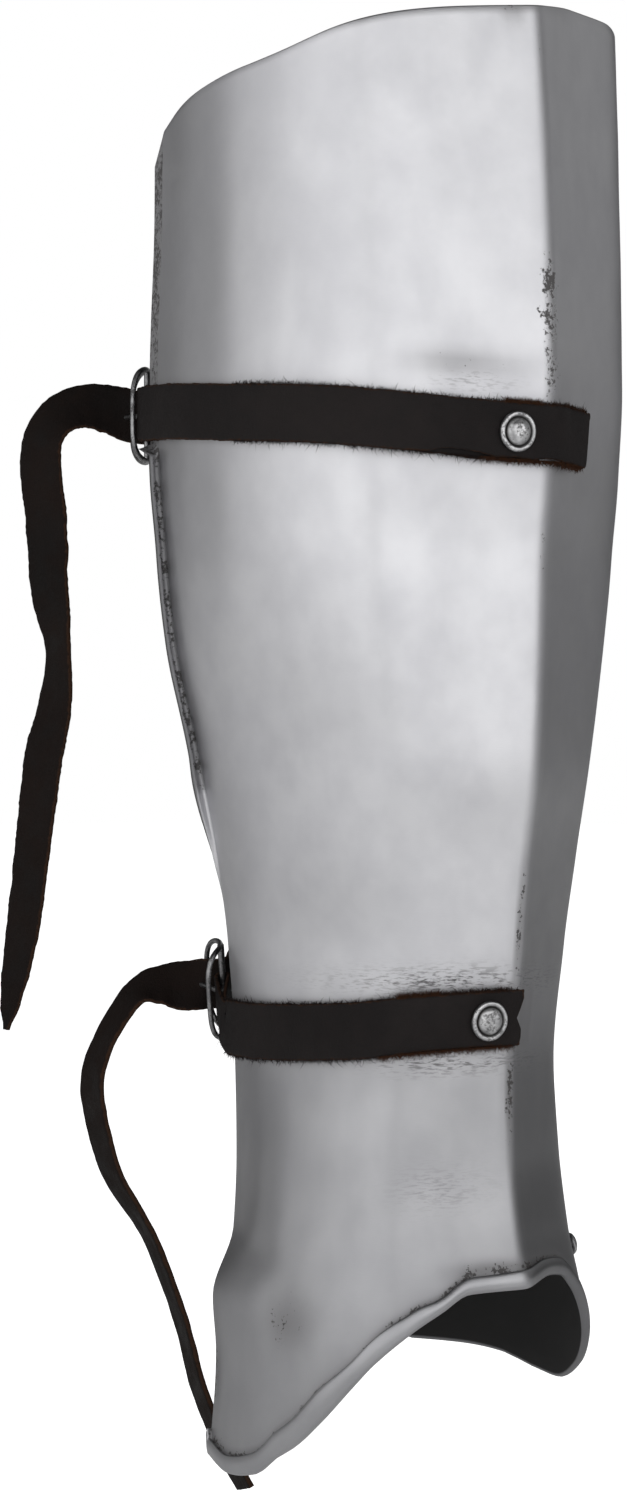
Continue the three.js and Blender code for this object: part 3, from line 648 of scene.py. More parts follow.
@dataclass
class Shell:
    """Smooth outer surface that the plate, the straps and the rivets are laid out on."""

    sheet: float = 1.3
    face_angle: float = 70.0
    face_fullness: float = 0.85
    back_fullness: float = 0.4
    widest_behind: float = 4.0
    edge_inward: float = 27.0
    front_share: float = 0.68
    back_share: float = 1.2
    strap_width: float = 16.0
    probe_height: float = 8.0
    probe_share: float = 0.02

    def __post_init__(self) -> None:
        """Prepares the smooth curves through the tables."""
        names = ("ridge", "half_width", "fold_back", "fold_out")
        self.columns = {name: TableCurve(SECTIONS, "height", name) for name in names}
        self.strip_width = TableCurve(BACK_STRIP, "height", "width")
        self.strip_turned = TableCurve(BACK_STRIP, "height", "turned")
        self.straight_back = 180 + self.edge_inward

    def wing_point(self, side: Wing, height: float, share: float) -> tuple[Vector, float]:
        """Returns a point of the outer face and its heading.

        Args:
            side: Wing that the point is on.
            height: Height of the point.
            share: Share of the way from the ridge to the fold.

        Returns:
            The point, and the heading of the face there in degrees.
        """
        ridge, half, back, out = (curve(height) for curve in self.columns.values())
        widest = Vector((side * half, self.widest_behind, height))
        if share <= self.front_share:
            start, end, t = Vector((0, -ridge, height)), widest, share / self.front_share
            leave = in_plan(side, 180 - self.face_angle) * (self.face_fullness * half)
            arrive = in_plan(side, 0) * (self.face_fullness * (ridge + self.widest_behind))
        else:
            start, end = widest, Vector((side * out, back, height))
            t = (share - self.front_share) / (1 - self.front_share)
            reach = self.back_fullness * (back - self.widest_behind)
            leave, arrive = in_plan(side, 180) * reach, in_plan(side, self.edge_inward) * reach
        point, way = bezier((start, start + leave, end + arrive, end), t)
        return point, math.degrees(math.atan2(side * way.x, -way.y)) % 360

    def lifted(self, side: Wing, height: float, share: float, lift: float) -> Vector:
        """Returns a point over the outer face, also beyond the fold.

        Args:
            side: Wing that the point is on.
            height: Height of the point.
            share: Share of the way from the ridge, 1 at the fold and 1.2 at the back edge.
            lift: Distance off the outer face.

        Returns:
            The point.
        """
        point, heading = self.wing_point(side, height, min(share, 1))
        if share <= 0:
            return point + in_plan(side, 0) * (lift / math.sin(math.radians(self.face_angle)))
        if share <= 1:
            return point + in_plan(side, heading - 90) * lift
        reach = self.strip_width(height) * (share - 1) / (self.back_share - 1)
        point += in_plan(side, self.straight_back) * reach
        return point + in_plan(side, self.straight_back - 90) * lift

    def normal_at(self, side: Wing, height: float, share: float) -> Vector:
        """Returns the direction out of the face.

        Args:
            side: Wing that the place is on.
            height: Height of the place.
            share: Share of the way from the ridge to the fold.

        Returns:
            The unit direction.
        """
        up, on = self.probe_height, self.probe_share
        rise = self.lifted(side, height + up, share, 0) - self.lifted(side, height - up, share, 0)
        run = self.lifted(side, height, share + on, 0) - self.lifted(side, height, share - on, 0)
        return (run.cross(rise) * side).normalized()

    def station(self, side: Wing, height: float, share: float, lift: float) -> Station:
        """Returns a strap's station that lies flat over the plate.

        Args:
            side: Wing that it is on.
            height: Height of its middle.
            share: Share of the way from the ridge.
            lift: Distance of its middle off the outer face.

        Returns:
            The station.
        """
        half = self.strap_width / 2
        across = self.lifted(side, height + half, share, lift) - self.lifted(side, height - half, share, lift)
        return Station(self.lifted(side, height, share, lift), across.normalized(), self.strap_width)


@dataclass(frozen=True)
class Column:
    """One upright line of the plate's grid."""

    side: Wing
    share: float
    strip: float = 0.0

    @property
    def edge_share(self) -> float:
        """Share of the column, counted on past the fold."""
        return self.share + self.strip * (Shell.back_share - 1)


@dataclass
class Plate:
    """The raised sheet with its hem and its turned back edges."""

    shell: Shell
    share_steps: int = 62
    strip_steps: int = 12
    ridge_steps: int = 5
    level_step: float = 2.6
    level_reach: float = 135.0
    turn_levels: tuple[int, int] = (84, 93)
    turn_level_gap: float = 0.3
    edge_levels: int = 26
    ridge_round: float = 0.02
    turn_start: float = 0.1
    turn_end: float = 0.7
    rim_inset: float = 0.75
    rim_drop: tuple[float, float] = (0.12, 0.45)
    hem_bulge: float = 0.35
    hem_waves: float = 14.0
    hem_waviness: float = 0.45
    lip_groove: float = 0.35
    lip_step: float = 0.1
    lip_inset: tuple[float, float] = (0.5, 0.2)
    lip_round: float = 0.25
    hem_steps: int = 6
    fold_steps: int = 6
    waviness: float = 0.28
    wave_length: float = 48.0
    ripple: float = 0.09
    ripple_length: float = 17.0
    wing_roundness: float = 1.9
    # Painted shade: the steel is blackened low down on both wings and over the inner wing.
    ankle_shade: float = 0.34
    ankle_from: float = -62.0
    ankle_over: float = 34.0
    inner_shade: float = 0.62
    inner_from: float = 90.0
    inner_over: float = 190.0
    # Painted shadow on the sheet beside the straps.
    strap_shadow: float = 0.32
    strap_shadow_reach: float = 1.7
    # Painted shade mixed with dirt in a dark line just over the hem's lip.
    lip_dirt_and_shade: tuple[float, float] = (0.95, 0.4)
    lip_dirt_and_shade_reach: tuple[float, float] = (0.8, 5.0)
    # Painted shade that darkens the sheet towards the back edges.
    back_shade: float = 0.3
    back_shade_from: float = 0.86
    # Painted shadow on the turned-out strip behind the fold.
    turned_shadow: float = 0.7
    turned_down_to: float = -12.0

    def __post_init__(self) -> None:
        """Prepares the curves of the edges and of the straps over the outer wing."""
        tops, bottoms = {OUTER: OUTER_TOP, INNER: INNER_TOP}, {OUTER: OUTER_BOTTOM, INNER: INNER_BOTTOM}
        self.tops = {side: TableCurve(rows, "share", "height") for side, rows in tops.items()}
        self.bottoms = {side: TableCurve(rows, "share", "height") for side, rows in bottoms.items()}
        self.hems = {side: TableCurve(rows, "share", "hem") for side, rows in bottoms.items()}
        self.strap_lines = [TableCurve(line, "share", "height") for line in (UPPER_LINE, LOWER_LINE)]

    def columns(self) -> list[Column]:
        """Lays out the grid's columns.

        Returns:
            The columns from one back edge round the ridge to the other.
        """
        near = [self.ridge_round * k / self.ridge_steps for k in range(1, self.ridge_steps)]
        even = [k / self.share_steps for k in range(1, self.share_steps + 1)]
        wing = [(share, 0.0) for share in (*near, *(share for share in even if share > near[-1] + 1e-3))]
        wing += [(1.0, k / self.strip_steps) for k in range(1, self.strip_steps + 1)]
        outer = [Column(OUTER, share, strip) for share, strip in reversed(wing)]
        inner = [Column(INNER, share, strip) for share, strip in wing]
        return [*outer, Column(OUTER, 0), *inner]

    def sheet_point(self, column: Column, height: float, offset: float) -> Vector:
        """Returns a point of the sheet, rounded over the ridge.

        Args:
            column: Column of the grid.
            height: Height of the point.
            offset: Offset outwards from the middle of the sheet.

        Returns:
            The point.
        """
        shell, side = self.shell, column.side
        lift = offset - shell.sheet / 2
        if column.strip > 0:
            return self.strip_point(column, height, offset)
        if column.share >= self.ridge_round:
            return shell.lifted(side, height, column.share, lift)
        t = (1 + column.share / self.ridge_round) / 2
        here, there = (shell.lifted(wing, height, self.ridge_round, lift) for wing in (side, -side))
        peak = shell.lifted(side, height, 0, lift)
        return there * (1 - t) ** 2 + peak * (2 * t * (1 - t)) + here * t**2

    def strip_point(self, column: Column, height: float, offset: float) -> Vector:
        """Returns a point of the strip behind the fold, turned outwards with it.

        Args:
            column: Column of the grid.
            height: Height of the point.
            offset: Offset outwards from the middle of the sheet.

        Returns:
            The point.
        """
        shell, side = self.shell, column.side
        width, turned = shell.strip_width(height), shell.strip_turned(height)
        point = shell.lifted(side, height, 1, -shell.sheet / 2)
        heading = shell.straight_back
        for k in range(max(round(column.strip * self.strip_steps), 1)):
            bend = ((k + 0.5) / self.strip_steps - self.turn_start) / (self.turn_end - self.turn_start)
            heading = shell.straight_back - turned * clamp(bend)
            point = point + in_plan(side, heading) * (width / self.strip_steps)
        return point + in_plan(side, heading - 90) * offset

    def levels(self, column: Column) -> list[float]:
        """Lays out the heights of the grid in one column.

        Args:
            column: Column of the grid.

        Returns:
            The heights from the top edge down to the hem's lip, closer where the strip starts to turn.
        """
        reach, steps = self.level_reach, self.edge_levels
        count = round(2 * reach / self.level_step)
        even = [lerp(reach, -reach, k / count) for k in range(count + 1)]
        bends = [h for h in range(*self.turn_levels) if min(abs(h - e) for e in even) > self.turn_level_gap]
        top, hem_top = self.tops[column.side](column.edge_share), self.hem_top(column)
        above = [lerp(top, reach, k / steps) for k in range(steps)]
        below = [lerp(-reach, hem_top, (k + 1) / steps) for k in range(steps)]
        return [*above, *sorted([*even, *bends], reverse=True), *below]

    def bottom(self, column: Column) -> float:
        """Returns the height of the bottom edge in one column."""
        return self.bottoms[column.side](column.edge_share)

    def hem_top(self, column: Column) -> float:
        """Returns the height of the hem's uneven lip in one column."""
        wave = self.hem_waviness * noise_at(column.side * column.edge_share * self.hem_waves, 3.1, 0.7)
        return self.bottom(column) + self.hems[column.side](column.edge_share) + wave

    def profile(self, column: Column) -> list[tuple[float, float, Zone]]:
        """Returns the closed upright outline of the sheet in one column.

        Args:
            column: Column of the grid.

        Returns:
            Offsets, heights and zones down the outer face, round the hem and up the inner face.
        """
        half, sheet = self.shell.sheet / 2, self.shell.sheet
        folded, lip_top = half + sheet, self.hem_top(column)
        levels, bottom_round = self.levels(column), self.bottom(column) + sheet
        top, shoulder = levels[0], lip_top - self.lip_round
        near, full = (top - drop for drop in self.rim_drop)
        outer = [(0.0, top), (half * self.rim_inset, near), (half, full)]
        outer += [(half, height) for height in levels[1:]]
        groove = [(half + self.lip_step, lip_top - self.lip_groove), (folded - self.lip_inset[0], shoulder)]
        hem = [(folded - self.lip_inset[1], lip_top), (folded, shoulder)]
        for k in range(1, self.hem_steps + 1):
            t = k / self.hem_steps
            hem.append((folded + self.hem_bulge * math.sin(math.pi * t), lerp(shoulder, bottom_round, t)))
        for k in range(1, self.fold_steps + 1):
            angle = math.pi * k / self.fold_steps
            hem.append((half + sheet * math.cos(angle), bottom_round - sheet * math.sin(angle)))
        inner = [hem.pop(), *((-half, height) for height in reversed(levels[1:])), (-half, full)]
        runs = (
            (Zone.OUTER, outer),
            (Zone.GROOVE, groove),
            (Zone.HEM, hem),
            (Zone.INNER, inner),
            (Zone.OUTER, [(-half * self.rim_inset, near)]),
        )
        return [(offset, height, zone) for zone, run in runs for offset, height in run]

    def marked(self, marks: Sequence[Mark], column: Column, height: float) -> float:
        """Returns how strongly a table's marks act at one place of the plate.

        Args:
            marks: The marks.
            column: Column of the grid.
            height: Height there.

        Returns:
            The sum of their strengths.
        """
        wing = self.wing_roundness * self.shell.columns["half_width"](height)
        place = column.side * column.share
        return sum(mark.amount(place, height, wing) for mark in marks)

    def uneven(self, point: Vector, column: Column) -> float:
        """Returns how far the hammered sheet stands off its smooth form.

        Args:
            point: Point of the smooth sheet.
            column: Column that it is in.

        Returns:
            The distance outwards.
        """
        wave = noise.noise(point / self.wave_length) * self.waviness
        ripple = noise.noise(point / self.ripple_length + Vector((5, 2, 9))) * self.ripple
        return wave + ripple - self.marked(DENTS, column, point.z)

    def painted_shade(self, column: Column, height: float) -> float:
        """Returns how far painted shade darkens the steel, low down and most of all low on the inner wing.

        Args:
            column: Column of the grid.
            height: Height there.

        Returns:
            The share of black painted into the steel as shade.
        """
        low = clamp((self.ankle_from - height) / self.ankle_over)
        if column.side == OUTER:
            return self.ankle_shade * low * low * (3 - 2 * low)
        high = clamp((self.inner_from - height) / self.inner_over)
        past = clamp(column.share / self.ridge_round)
        return self.inner_shade * high * past + self.ankle_shade * low * (1 - past)

    def strap_shade(self, column: Column, height: float) -> float:
        """Returns the painted shadow on the sheet beside the straps of the outer wing.

        Args:
            column: Column of the grid.
            height: Height there.

        Returns:
            The amount of painted shadow, nothing beyond the straps' ends.
        """
        if column.side == INNER and column.share > UPPER_PAST_RIDGE[-1].share:
            return 0.0
        reaches = (abs(height - line(column.side * -column.edge_share)) for line in self.strap_lines)
        half, fade = self.shell.strap_width / 2, self.strap_shadow_reach
        return sum(self.strap_shadow * math.exp(-max(reach - half, 0) / fade) for reach in reaches)

    def grime_and_shade(self, column: Column, height: float, zone: Zone) -> float:
        """Returns how dirty the sheet is at one place, with painted shade added.

        Args:
            column: Column of the grid.
            height: Height there.
            zone: Zone of the sheet.

        Returns:
            The amount of dirt and painted shade, from 0 to 1.
        """
        # The groove over the hem is painted fully dark as shade.
        if zone is not Zone.OUTER:
            return 1.0 if zone is Zone.GROOVE else 0.0
        # Painted shade mixed with dirt just over the hem's lip.
        over_lip = max(height - self.hem_top(column), 0)
        lip_dirt_and_shade = zip(self.lip_dirt_and_shade, self.lip_dirt_and_shade_reach)
        grime_and_shade = sum(amount * math.exp(-over_lip / reach) for amount, reach in lip_dirt_and_shade)
        grime_and_shade += self.marked(STAINS, column, height) + self.strap_shade(column, height)
        # Painted shade towards the back edges.
        grime_and_shade += self.back_shade * max(0, column.share - self.back_shade_from) / (1 - self.back_shade_from)
        # Painted shadow on the turned-out strip behind the fold.
        if column.strip > self.turn_start and height > self.turned_down_to:
            grime_and_shade += self.turned_shadow
        return min(grime_and_shade, 1.0)

    def mask_values(self, column: Column, height: float, zone: Zone) -> dict[str, float]:
        """Works out the masks of one point.

        Args:
            column: Column that the point is in.
            height: Height of the point.
            zone: Zone of the sheet that it is in.

        Returns:
            The masks' values by name.
        """
        facing = 1.0 if zone is Zone.OUTER else 0.0
        return {
            "inside": 1.0 if zone is Zone.INNER else 0.0,
            "grime_and_shade": self.grime_and_shade(column, height, zone),
            "scratched": facing * min(self.marked(SCRATCHES, column, height), 1.0),
            "crease": facing * min(self.marked(CREASE_MARKS, column, height), 1.0),
            "painted_shade": self.painted_shade(column, height),
        }

    def build(self) -> bpy.types.Object:
        """Builds the plate as one closed mesh with its masks.

        Returns:
            The plate.
        """
        columns = self.columns()
        points, rows = [], []
        for column in columns:
            heading = self.shell.wing_point(column.side, 0, column.share)[1]
            direction = in_plan(column.side, heading - 90 if column.share > 0 else 0)
            for offset, height, zone in self.profile(column):
                point = self.sheet_point(column, height, offset)
                points.append(point + direction * self.uneven(point, column))
                rows.append(self.mask_values(column, height, zone))
        faces = outward(points, strip_faces(len(columns), len(points) // len(columns)))
        masks = {name: [row[name] for row in rows] for name in rows[0]}
        return mesh_piece("greave_plate_sheet", points, faces, masks)


@dataclass(frozen=True)
class Cut:
    """How a strap's edges are cut and worn."""

    thickness: float
    ragged: float = 0.3
    wavy: float = 0.25
    crinkle: float = 0.12
    seed: float = 0.0
    end_rag: float = 0.25
    end_slant: float = 0.0
    end_notch: float = 0.0
    notch_place: float = -0.05
    notch_width: float = 0.16
    torn_reach: float = 4.0
    wear: tuple[Wear, ...] = ()

    def moved(self, length: float, end: float, hand: int) -> float:
        """Returns how far wear moves an edge out, 1 the upper one and -1 the lower one."""
        return sum(wear.out(length, end) for wear in self.wear if wear.hand == hand)

    def torn(self, a: float, left: float) -> float:
        """Returns how far the cut end reaches out at a place across it.

        Args:
            a: Place across the strap, from -1 at its lower edge to 1 at its upper one.
            left: Length that is left to the end.

        Returns:
            The distance along the strap.
        """
        rag = self.end_rag * noise_at(a * 3.7, self.seed, 2.0)
        notch = self.end_notch * math.exp(-(((a - self.notch_place) / self.notch_width) ** 2))
        return (rag + self.end_slant * a - notch) * max(0.0, 1 - left / self.torn_reach)


@dataclass(frozen=True)
class StrapMaker:
    """Turns a strap's stations into a worn strip of leather."""

    half_section: tuple[float, ...] = (0.4, 0.7, 0.88, 0.95, 0.985, 1.0)
    edge_round: float = 0.1
    edge_thin: float = 0.3
    rag_pace: float = 1.1
    wave_pace: float = 0.16
    dip_pace: float = 0.2
    full_width: float = 8.0
    worn_end: float = 1.2
    path_steps: int = 12
    root_depth: float = 0.25
    root_spread: float = 0.5
    stray: tuple[float, float] = (0.9, 0.25)
    curl: tuple[float, float] = (0.6, 0.3)
    curl_share: float = 0.6
    shortest: float = 0.35
    shortness: float = 1.6
    thick: tuple[float, float] = (0.04, 0.11)
    fibre_rings: tuple[tuple[float, float], ...] = ((0.0, 1.0), (0.55, 0.75))

    def fine(self, stations: Sequence[Station], step: float) -> list[Station]:
        """Returns stations about one step apart on a smooth curve through the given ones.

        Args:
            stations: Stations of the strap.
            step: Distance between the new ones.

        Returns:
            The new stations with their lengths along the strap.
        """
        path = smooth_path([station.centre for station in stations], self.path_steps)
        lengths = [0.0]
        for (a, _), (b, _) in zip(path, path[1:]):
            lengths.append(lengths[-1] + (b - a).length)
        count = max(round(lengths[-1] / step), 2)
        fine = []
        for k in range(count + 1):
            length = lengths[-1] * k / count
            i = min(max(bisect.bisect_right(lengths, length) - 1, 0), len(path) - 2)
            t = (length - lengths[i]) / max(lengths[i + 1] - lengths[i], 1e-9)
            place = lerp(path[i][1], path[i + 1][1], t)
            low = min(int(place), len(stations) - 2)
            before, after, share = stations[low], stations[low + 1], place - low
            across = before.across.lerp(after.across, share).normalized()
            centre = path[i][0].lerp(path[i + 1][0], t)
            fine.append(Station(centre, across, lerp(before.width, after.width, share), length))
        return fine

    def axes(self, stations: Sequence[Station], i: int) -> tuple[Vector, Vector, Vector]:
        """Returns a strap's own directions at one station.

        Args:
            stations: Stations of the strap.
            i: Number of the station.

        Returns:
            The directions along, across and through it.
        """
        before, after = stations[max(i - 1, 0)].centre, stations[min(i + 1, len(stations) - 1)].centre
        along = (after - before).normalized()
        through = along.cross(stations[i].across).normalized()
        return along, through.cross(along), through

    def build(self, name: str, stations: Sequence[Station], cut: Cut) -> bpy.types.Object:
        """Builds one strap.

        Args:
            name: Name of the piece.
            stations: Fine stations of the strap.
            cut: How its edges are cut and worn.

        Returns:
            The strap.
        """
        across = [*(-a for a in reversed(self.half_section)), 0.0, *self.half_section]
        ring = [*((a, 1) for a in across), *((a, -1) for a in reversed(across))]
        end = stations[-1].along
        points, worn = [], []
        for i, station in enumerate(stations):
            along, wide, through = self.axes(stations, i)
            length, left = station.along, end - station.along
            for a, face in ring:
                hand = 1 if a > 0 else -1
                out = noise_at(length * self.rag_pace, hand * 7 + cut.seed, 0.3) * cut.ragged
                out += noise_at(length * self.wave_pace, hand * 3 + cut.seed, 5.0) * cut.wavy
                out += cut.moved(length, end, hand)
                half = station.width / 2 + out * abs(a) ** 3 * min(station.width / self.full_width, 1)
                depth = lerp(self.edge_thin, 1, math.sqrt(min((1 - abs(a)) / self.edge_round, 1)))
                dip = noise_at(length * self.dip_pace, a * 2 + cut.seed, 9.0) * cut.crinkle
                rise = face * depth * cut.thickness / 2 + dip * (1 - abs(a) * 0.5)
                point = station.centre + wide * (a * half) + through * rise
                points.append(point + along * cut.torn(a, left))
                worn.append(max(a * a, 1 - left / self.worn_end))
        faces = strip_faces(len(stations), len(ring))
        return mesh_piece(name, points, outward(points, faces), {"edge": worn})

    def fibre(self, chance: random.Random, tuft: Tuft, stations: Sequence[Station], i: int) -> list[Vector]:
        """Returns the seven points of one loose fibre.

        Args:
            chance: Source of its random draws.
            tuft: Stretch that it belongs to.
            stations: Fine stations of the strap.
            i: Number of the station that it grows at.

        Returns:
            Two rings of three points and the tip.
        """
        along, wide, through = self.axes(stations, i)
        root = stations[i].centre + wide * (tuft.hand * (stations[i].width / 2 - self.root_depth))
        root += through * chance.uniform(-self.root_spread, self.root_spread) * tuft.depth
        way = wide * tuft.hand + along * chance.gauss(0, self.stray[0])
        way += through * chance.gauss(0, self.stray[1])
        way.normalize()
        curl = along * chance.gauss(0, self.curl[0]) + through * chance.gauss(0, self.curl[1])
        curl *= self.curl_share
        reach = tuft.length * chance.uniform(self.shortest, 1) ** self.shortness
        thick = chance.uniform(*self.thick)
        side = way.cross(curl + Vector((0.01, 0.02, 0.03))).normalized()
        other = way.cross(side).normalized()
        points = []
        for place, scale in self.fibre_rings:
            middle = root + way * (reach * place) + curl * (reach * place * place)
            for angle in whole_turn(3):
                points.append(middle + (side * math.cos(angle) + other * math.sin(angle)) * (thick * scale))
        return [*points, root + way * reach + curl * reach]

    def fibres(self, name: str, stations: Sequence[Station], seed: int) -> bpy.types.Object:
        """Builds the loose fibres along a strap's cut edges.

        Args:
            name: Name of the piece.
            stations: Fine stations of the strap.
            seed: Seed of their places.

        Returns:
            The fibres as one mesh.
        """
        chance = random.Random(seed)
        end = stations[-1].along
        points, faces, brown = [], [], []
        for tuft in TUFTS:
            for _ in range(tuft.count):
                length = lerp(end - tuft.start, end - tuft.stop, chance.random())
                i = min(range(len(stations)), key=lambda k: abs(stations[k].along - length))
                here = len(points)
                points += self.fibre(chance, tuft, stations, i)
                for turn in range(3):
                    one, two = here + turn, here + (turn + 1) % 3
                    faces += [(one, two, two + 3, one + 3), (one + 3, two + 3, here + 6)]
                faces.append((here + 2, here + 1, here))
                brown += [tuft.brown] * (len(points) - here)
        return mesh_piece(name, points, faces, {"edge": brown})


@dataclass
class Buckle:
    """One wire buckle with its middle bar and prong, and the axes that its strap follows."""

    name: str
    shell: Shell
    height: float
    proud: float
    lean: float
    tilt: float
    beyond: float = 11.5
    heading: float = 222.0
    bar: float = 1.0
    wire: float = 0.8
    half_tall: float = 13.6
    half_long: float = 10.0
    squareness: int = 4
    arch: float = 4.4
    wire_wear: float = 0.06
    prong: float = 0.8
    prong_slim: float = 0.96
    prong_taper: float = 0.2
    prong_lean: float = 34.0
    prong_length: float = 11.5
    prong_hook: float = 255.0
    gap: float = LAYER_GAP
    ring_steps: int = 120
    bar_steps: int = 20
    hook_steps: int = 30
    tip_steps: int = 12
    taper_steps: int = 3
    wire_sides: int = 14

    def __post_init__(self) -> None:
        """Works out the buckle's middle and its own directions."""
        middle = self.shell.lifted(OUTER, self.height, self.shell.back_share, 0)
        self.middle = middle + in_plan(OUTER, PAST_WING) * self.beyond + in_plan(OUTER, OFF_WING) * self.proud
        turn = Quaternion(in_plan(OUTER, self.heading - 90), math.radians(-self.tilt))
        self.along = turn @ in_plan(OUTER, self.heading)
        self.up = Quaternion(self.along, math.radians(-self.lean)) @ (turn @ UP)
        self.out = self.up.cross(self.along)

    def at(self, along: float, out: float, up: float) -> Vector:
        """Returns the point at distances along the buckle's own directions."""
        return self.middle + self.along * along + self.out * out + self.up * up

    def tube(self, path: list[Vector], radii: list[float], closed: bool) -> tuple[list[Vector], Faces]:
        """Lays a round wire along a path.

        Args:
            path: Points along its middle.
            radii: Its radius at each of them.
            closed: Whether it meets itself.

        Returns:
            Its points and faces.
        """
        points = []
        count = len(path)
        for i, centre in enumerate(path):
            before = path[i - 1] if closed else path[max(i - 1, 0)]
            after = path[(i + 1) % count] if closed else path[min(i + 1, count - 1)]
            way = (after - before).normalized()
            guide = self.up if abs(way.dot(self.up)) < 0.9 else self.along
            one = way.cross(self.out if closed else guide).normalized()
            two = way.cross(one)
            for angle in whole_turn(self.wire_sides):
                points.append(centre + (one * math.cos(angle) + two * math.sin(angle)) * radii[i])
        sides = self.wire_sides
        faces = ring_faces(count, sides, True) if closed else capped_faces(count, sides)
        return points, outward(points, faces)

    def build_frame(self) -> bpy.types.Object:
        """Builds the wire ring and its middle bar as one piece.

        Returns:
            The frame.
        """
        ring = []
        for angle in whole_turn(self.ring_steps):
            long, tall = math.cos(angle), math.sin(angle)
            reach = (abs(long) ** self.squareness + abs(tall) ** self.squareness) ** (-1 / self.squareness)
            long, tall = reach * long, reach * tall
            ring.append(self.at(self.half_long * long, self.arch * long * long, self.half_tall * tall))
        radii = [self.wire * (1 + self.wire_wear * noise.noise(point / 3)) for point in ring]
        points, faces = self.tube(ring, radii, True)
        steps = self.bar_steps
        bar = [self.at(0, 0, lerp(-self.half_tall, self.half_tall, k / steps)) for k in range(steps + 1)]
        more, extra = self.tube(bar, [self.bar] * len(bar), False)
        faces = [*faces, *(tuple(k + len(points) for k in face) for face in extra)]
        points = [*points, *more]
        return mesh_piece(f"{self.name}_buckle_wire", points, faces, {"unshaded_by_groove": [1.0] * len(points)})

    def build_prong(self) -> bpy.types.Object:
        """Builds the prong, hooked round the bar and tapered to its tip.

        Returns:
            The prong.
        """
        radius = self.bar + self.gap + self.prong
        path, radii = [], []
        for k in range(self.hook_steps + 1):
            angle = math.radians(self.prong_lean + 90 + self.prong_hook * (1 - k / self.hook_steps))
            path.append(self.at(radius * math.cos(angle), radius * math.sin(angle), 0))
            radii.append(self.prong * self.prong_slim)
        lean = math.radians(self.prong_lean)
        way = self.along * math.cos(lean) + self.out * math.sin(lean)
        root = path[-1].copy()
        for k in range(1, self.tip_steps + 1):
            taper = self.prong_taper * max(k - self.tip_steps + self.taper_steps, 0)
            path.append(root + way * (self.prong_length * k / self.tip_steps))
            radii.append(self.prong * (self.prong_slim - taper))
        points, faces = self.tube(path, radii, False)
        return mesh_piece(f"{self.name}_prong_wire", points, faces, {"unshaded_by_groove": [1.0] * len(points)})

    def dress(self, steel: bpy.types.Material) -> None:
        """Builds the buckle's pieces and gives them their finish."""
        finish_piece(self.build_frame(), Slot.FITTING, steel, f"{self.name}_buckle_frame")
        finish_piece(self.build_prong(), Slot.FITTING, steel, f"{self.name}_buckle_prong")


@dataclass
class BuckleStrap:
    """Doubled strap that lies on the outer wing and loops round the buckle's bar."""

    name: str
    buckle: Buckle
    line: Sequence[Edge]
    slid: float
    loop_width: float
    past_ridge: Sequence[Edge]
    cut: Cut
    seed: int
    wing_steps: int = 34
    past_fold: tuple[float, ...] = (1.06, 1.13, 1.2)
    past_edge: float = 2.5
    past_share: float = 1.3
    loop_start: float = -110.0
    loop_end: float = 90.0
    loop_steps: int = 10
    under_start: float = 0.02
    step: float = 0.8

    def layer(self, lift: float, start: float) -> list[Station]:
        """Lays out one layer from its start to just past the plate's edge.

        Args:
            lift: Distance of its middle off the plate.
            start: Share of the wing that it starts at.

        Returns:
            Its stations.
        """
        shell, heights = self.buckle.shell, TableCurve(self.line, "share", "height")
        even = (k / self.wing_steps for k in range(1, self.wing_steps + 1))
        shares = (start, *(share for share in even if share > start + 0.01), *self.past_fold)
        rows = [shell.station(OUTER, heights(share), share, lift) for share in shares]
        past = shell.station(OUTER, heights(self.past_share), shell.back_share, lift)
        past.centre = past.centre + in_plan(OUTER, shell.straight_back) * self.past_edge
        past.width = self.loop_width
        return [*rows, past]

    def stations(self) -> list[Station]:
        """Lays out the whole strap.

        Returns:
            The stations from the under layer's start round the bar to the strap's end.
        """
        buckle = self.buckle
        top_lift = SKIN_GAP + LAYER_GAP / 2 + 1.5 * LAYER
        under, top = self.layer(SKIN_GAP + LAYER / 2, self.under_start), self.layer(top_lift, 0.0)
        radius = buckle.bar + buckle.gap + LAYER / 2
        loop = []
        for k in range(self.loop_steps + 1):
            angle = math.radians(lerp(self.loop_start, self.loop_end, k / self.loop_steps))
            centre = buckle.at(radius * math.cos(angle), radius * math.sin(angle), -self.slid)
            loop.append(Station(centre, buckle.up, self.loop_width))
        beyond = [buckle.shell.station(INNER, row.height, row.share, top_lift) for row in self.past_ridge]
        return [*under, *loop, *reversed(top), *beyond]

    def dress(self, maker: StrapMaker, leather: bpy.types.Material, fuzz: bpy.types.Material) -> None:
        """Builds the strap and the loose fibres on its edges, and gives them their finishes.

        Args:
            maker: Maker of the strips.
            leather: Material of the strap.
            fuzz: Material of the fibres.
        """
        stations = maker.fine(self.stations(), self.step)
        piece = maker.build(f"{self.name}_doubled_leather", stations, self.cut)
        finish_piece(piece, Slot.LEATHER, leather, f"{self.name}_buckle_strap")
        fibres = maker.fibres(f"{self.name}_strap_fibres", stations, self.seed)
        finish_piece(fibres, Slot.LEATHER, fuzz)


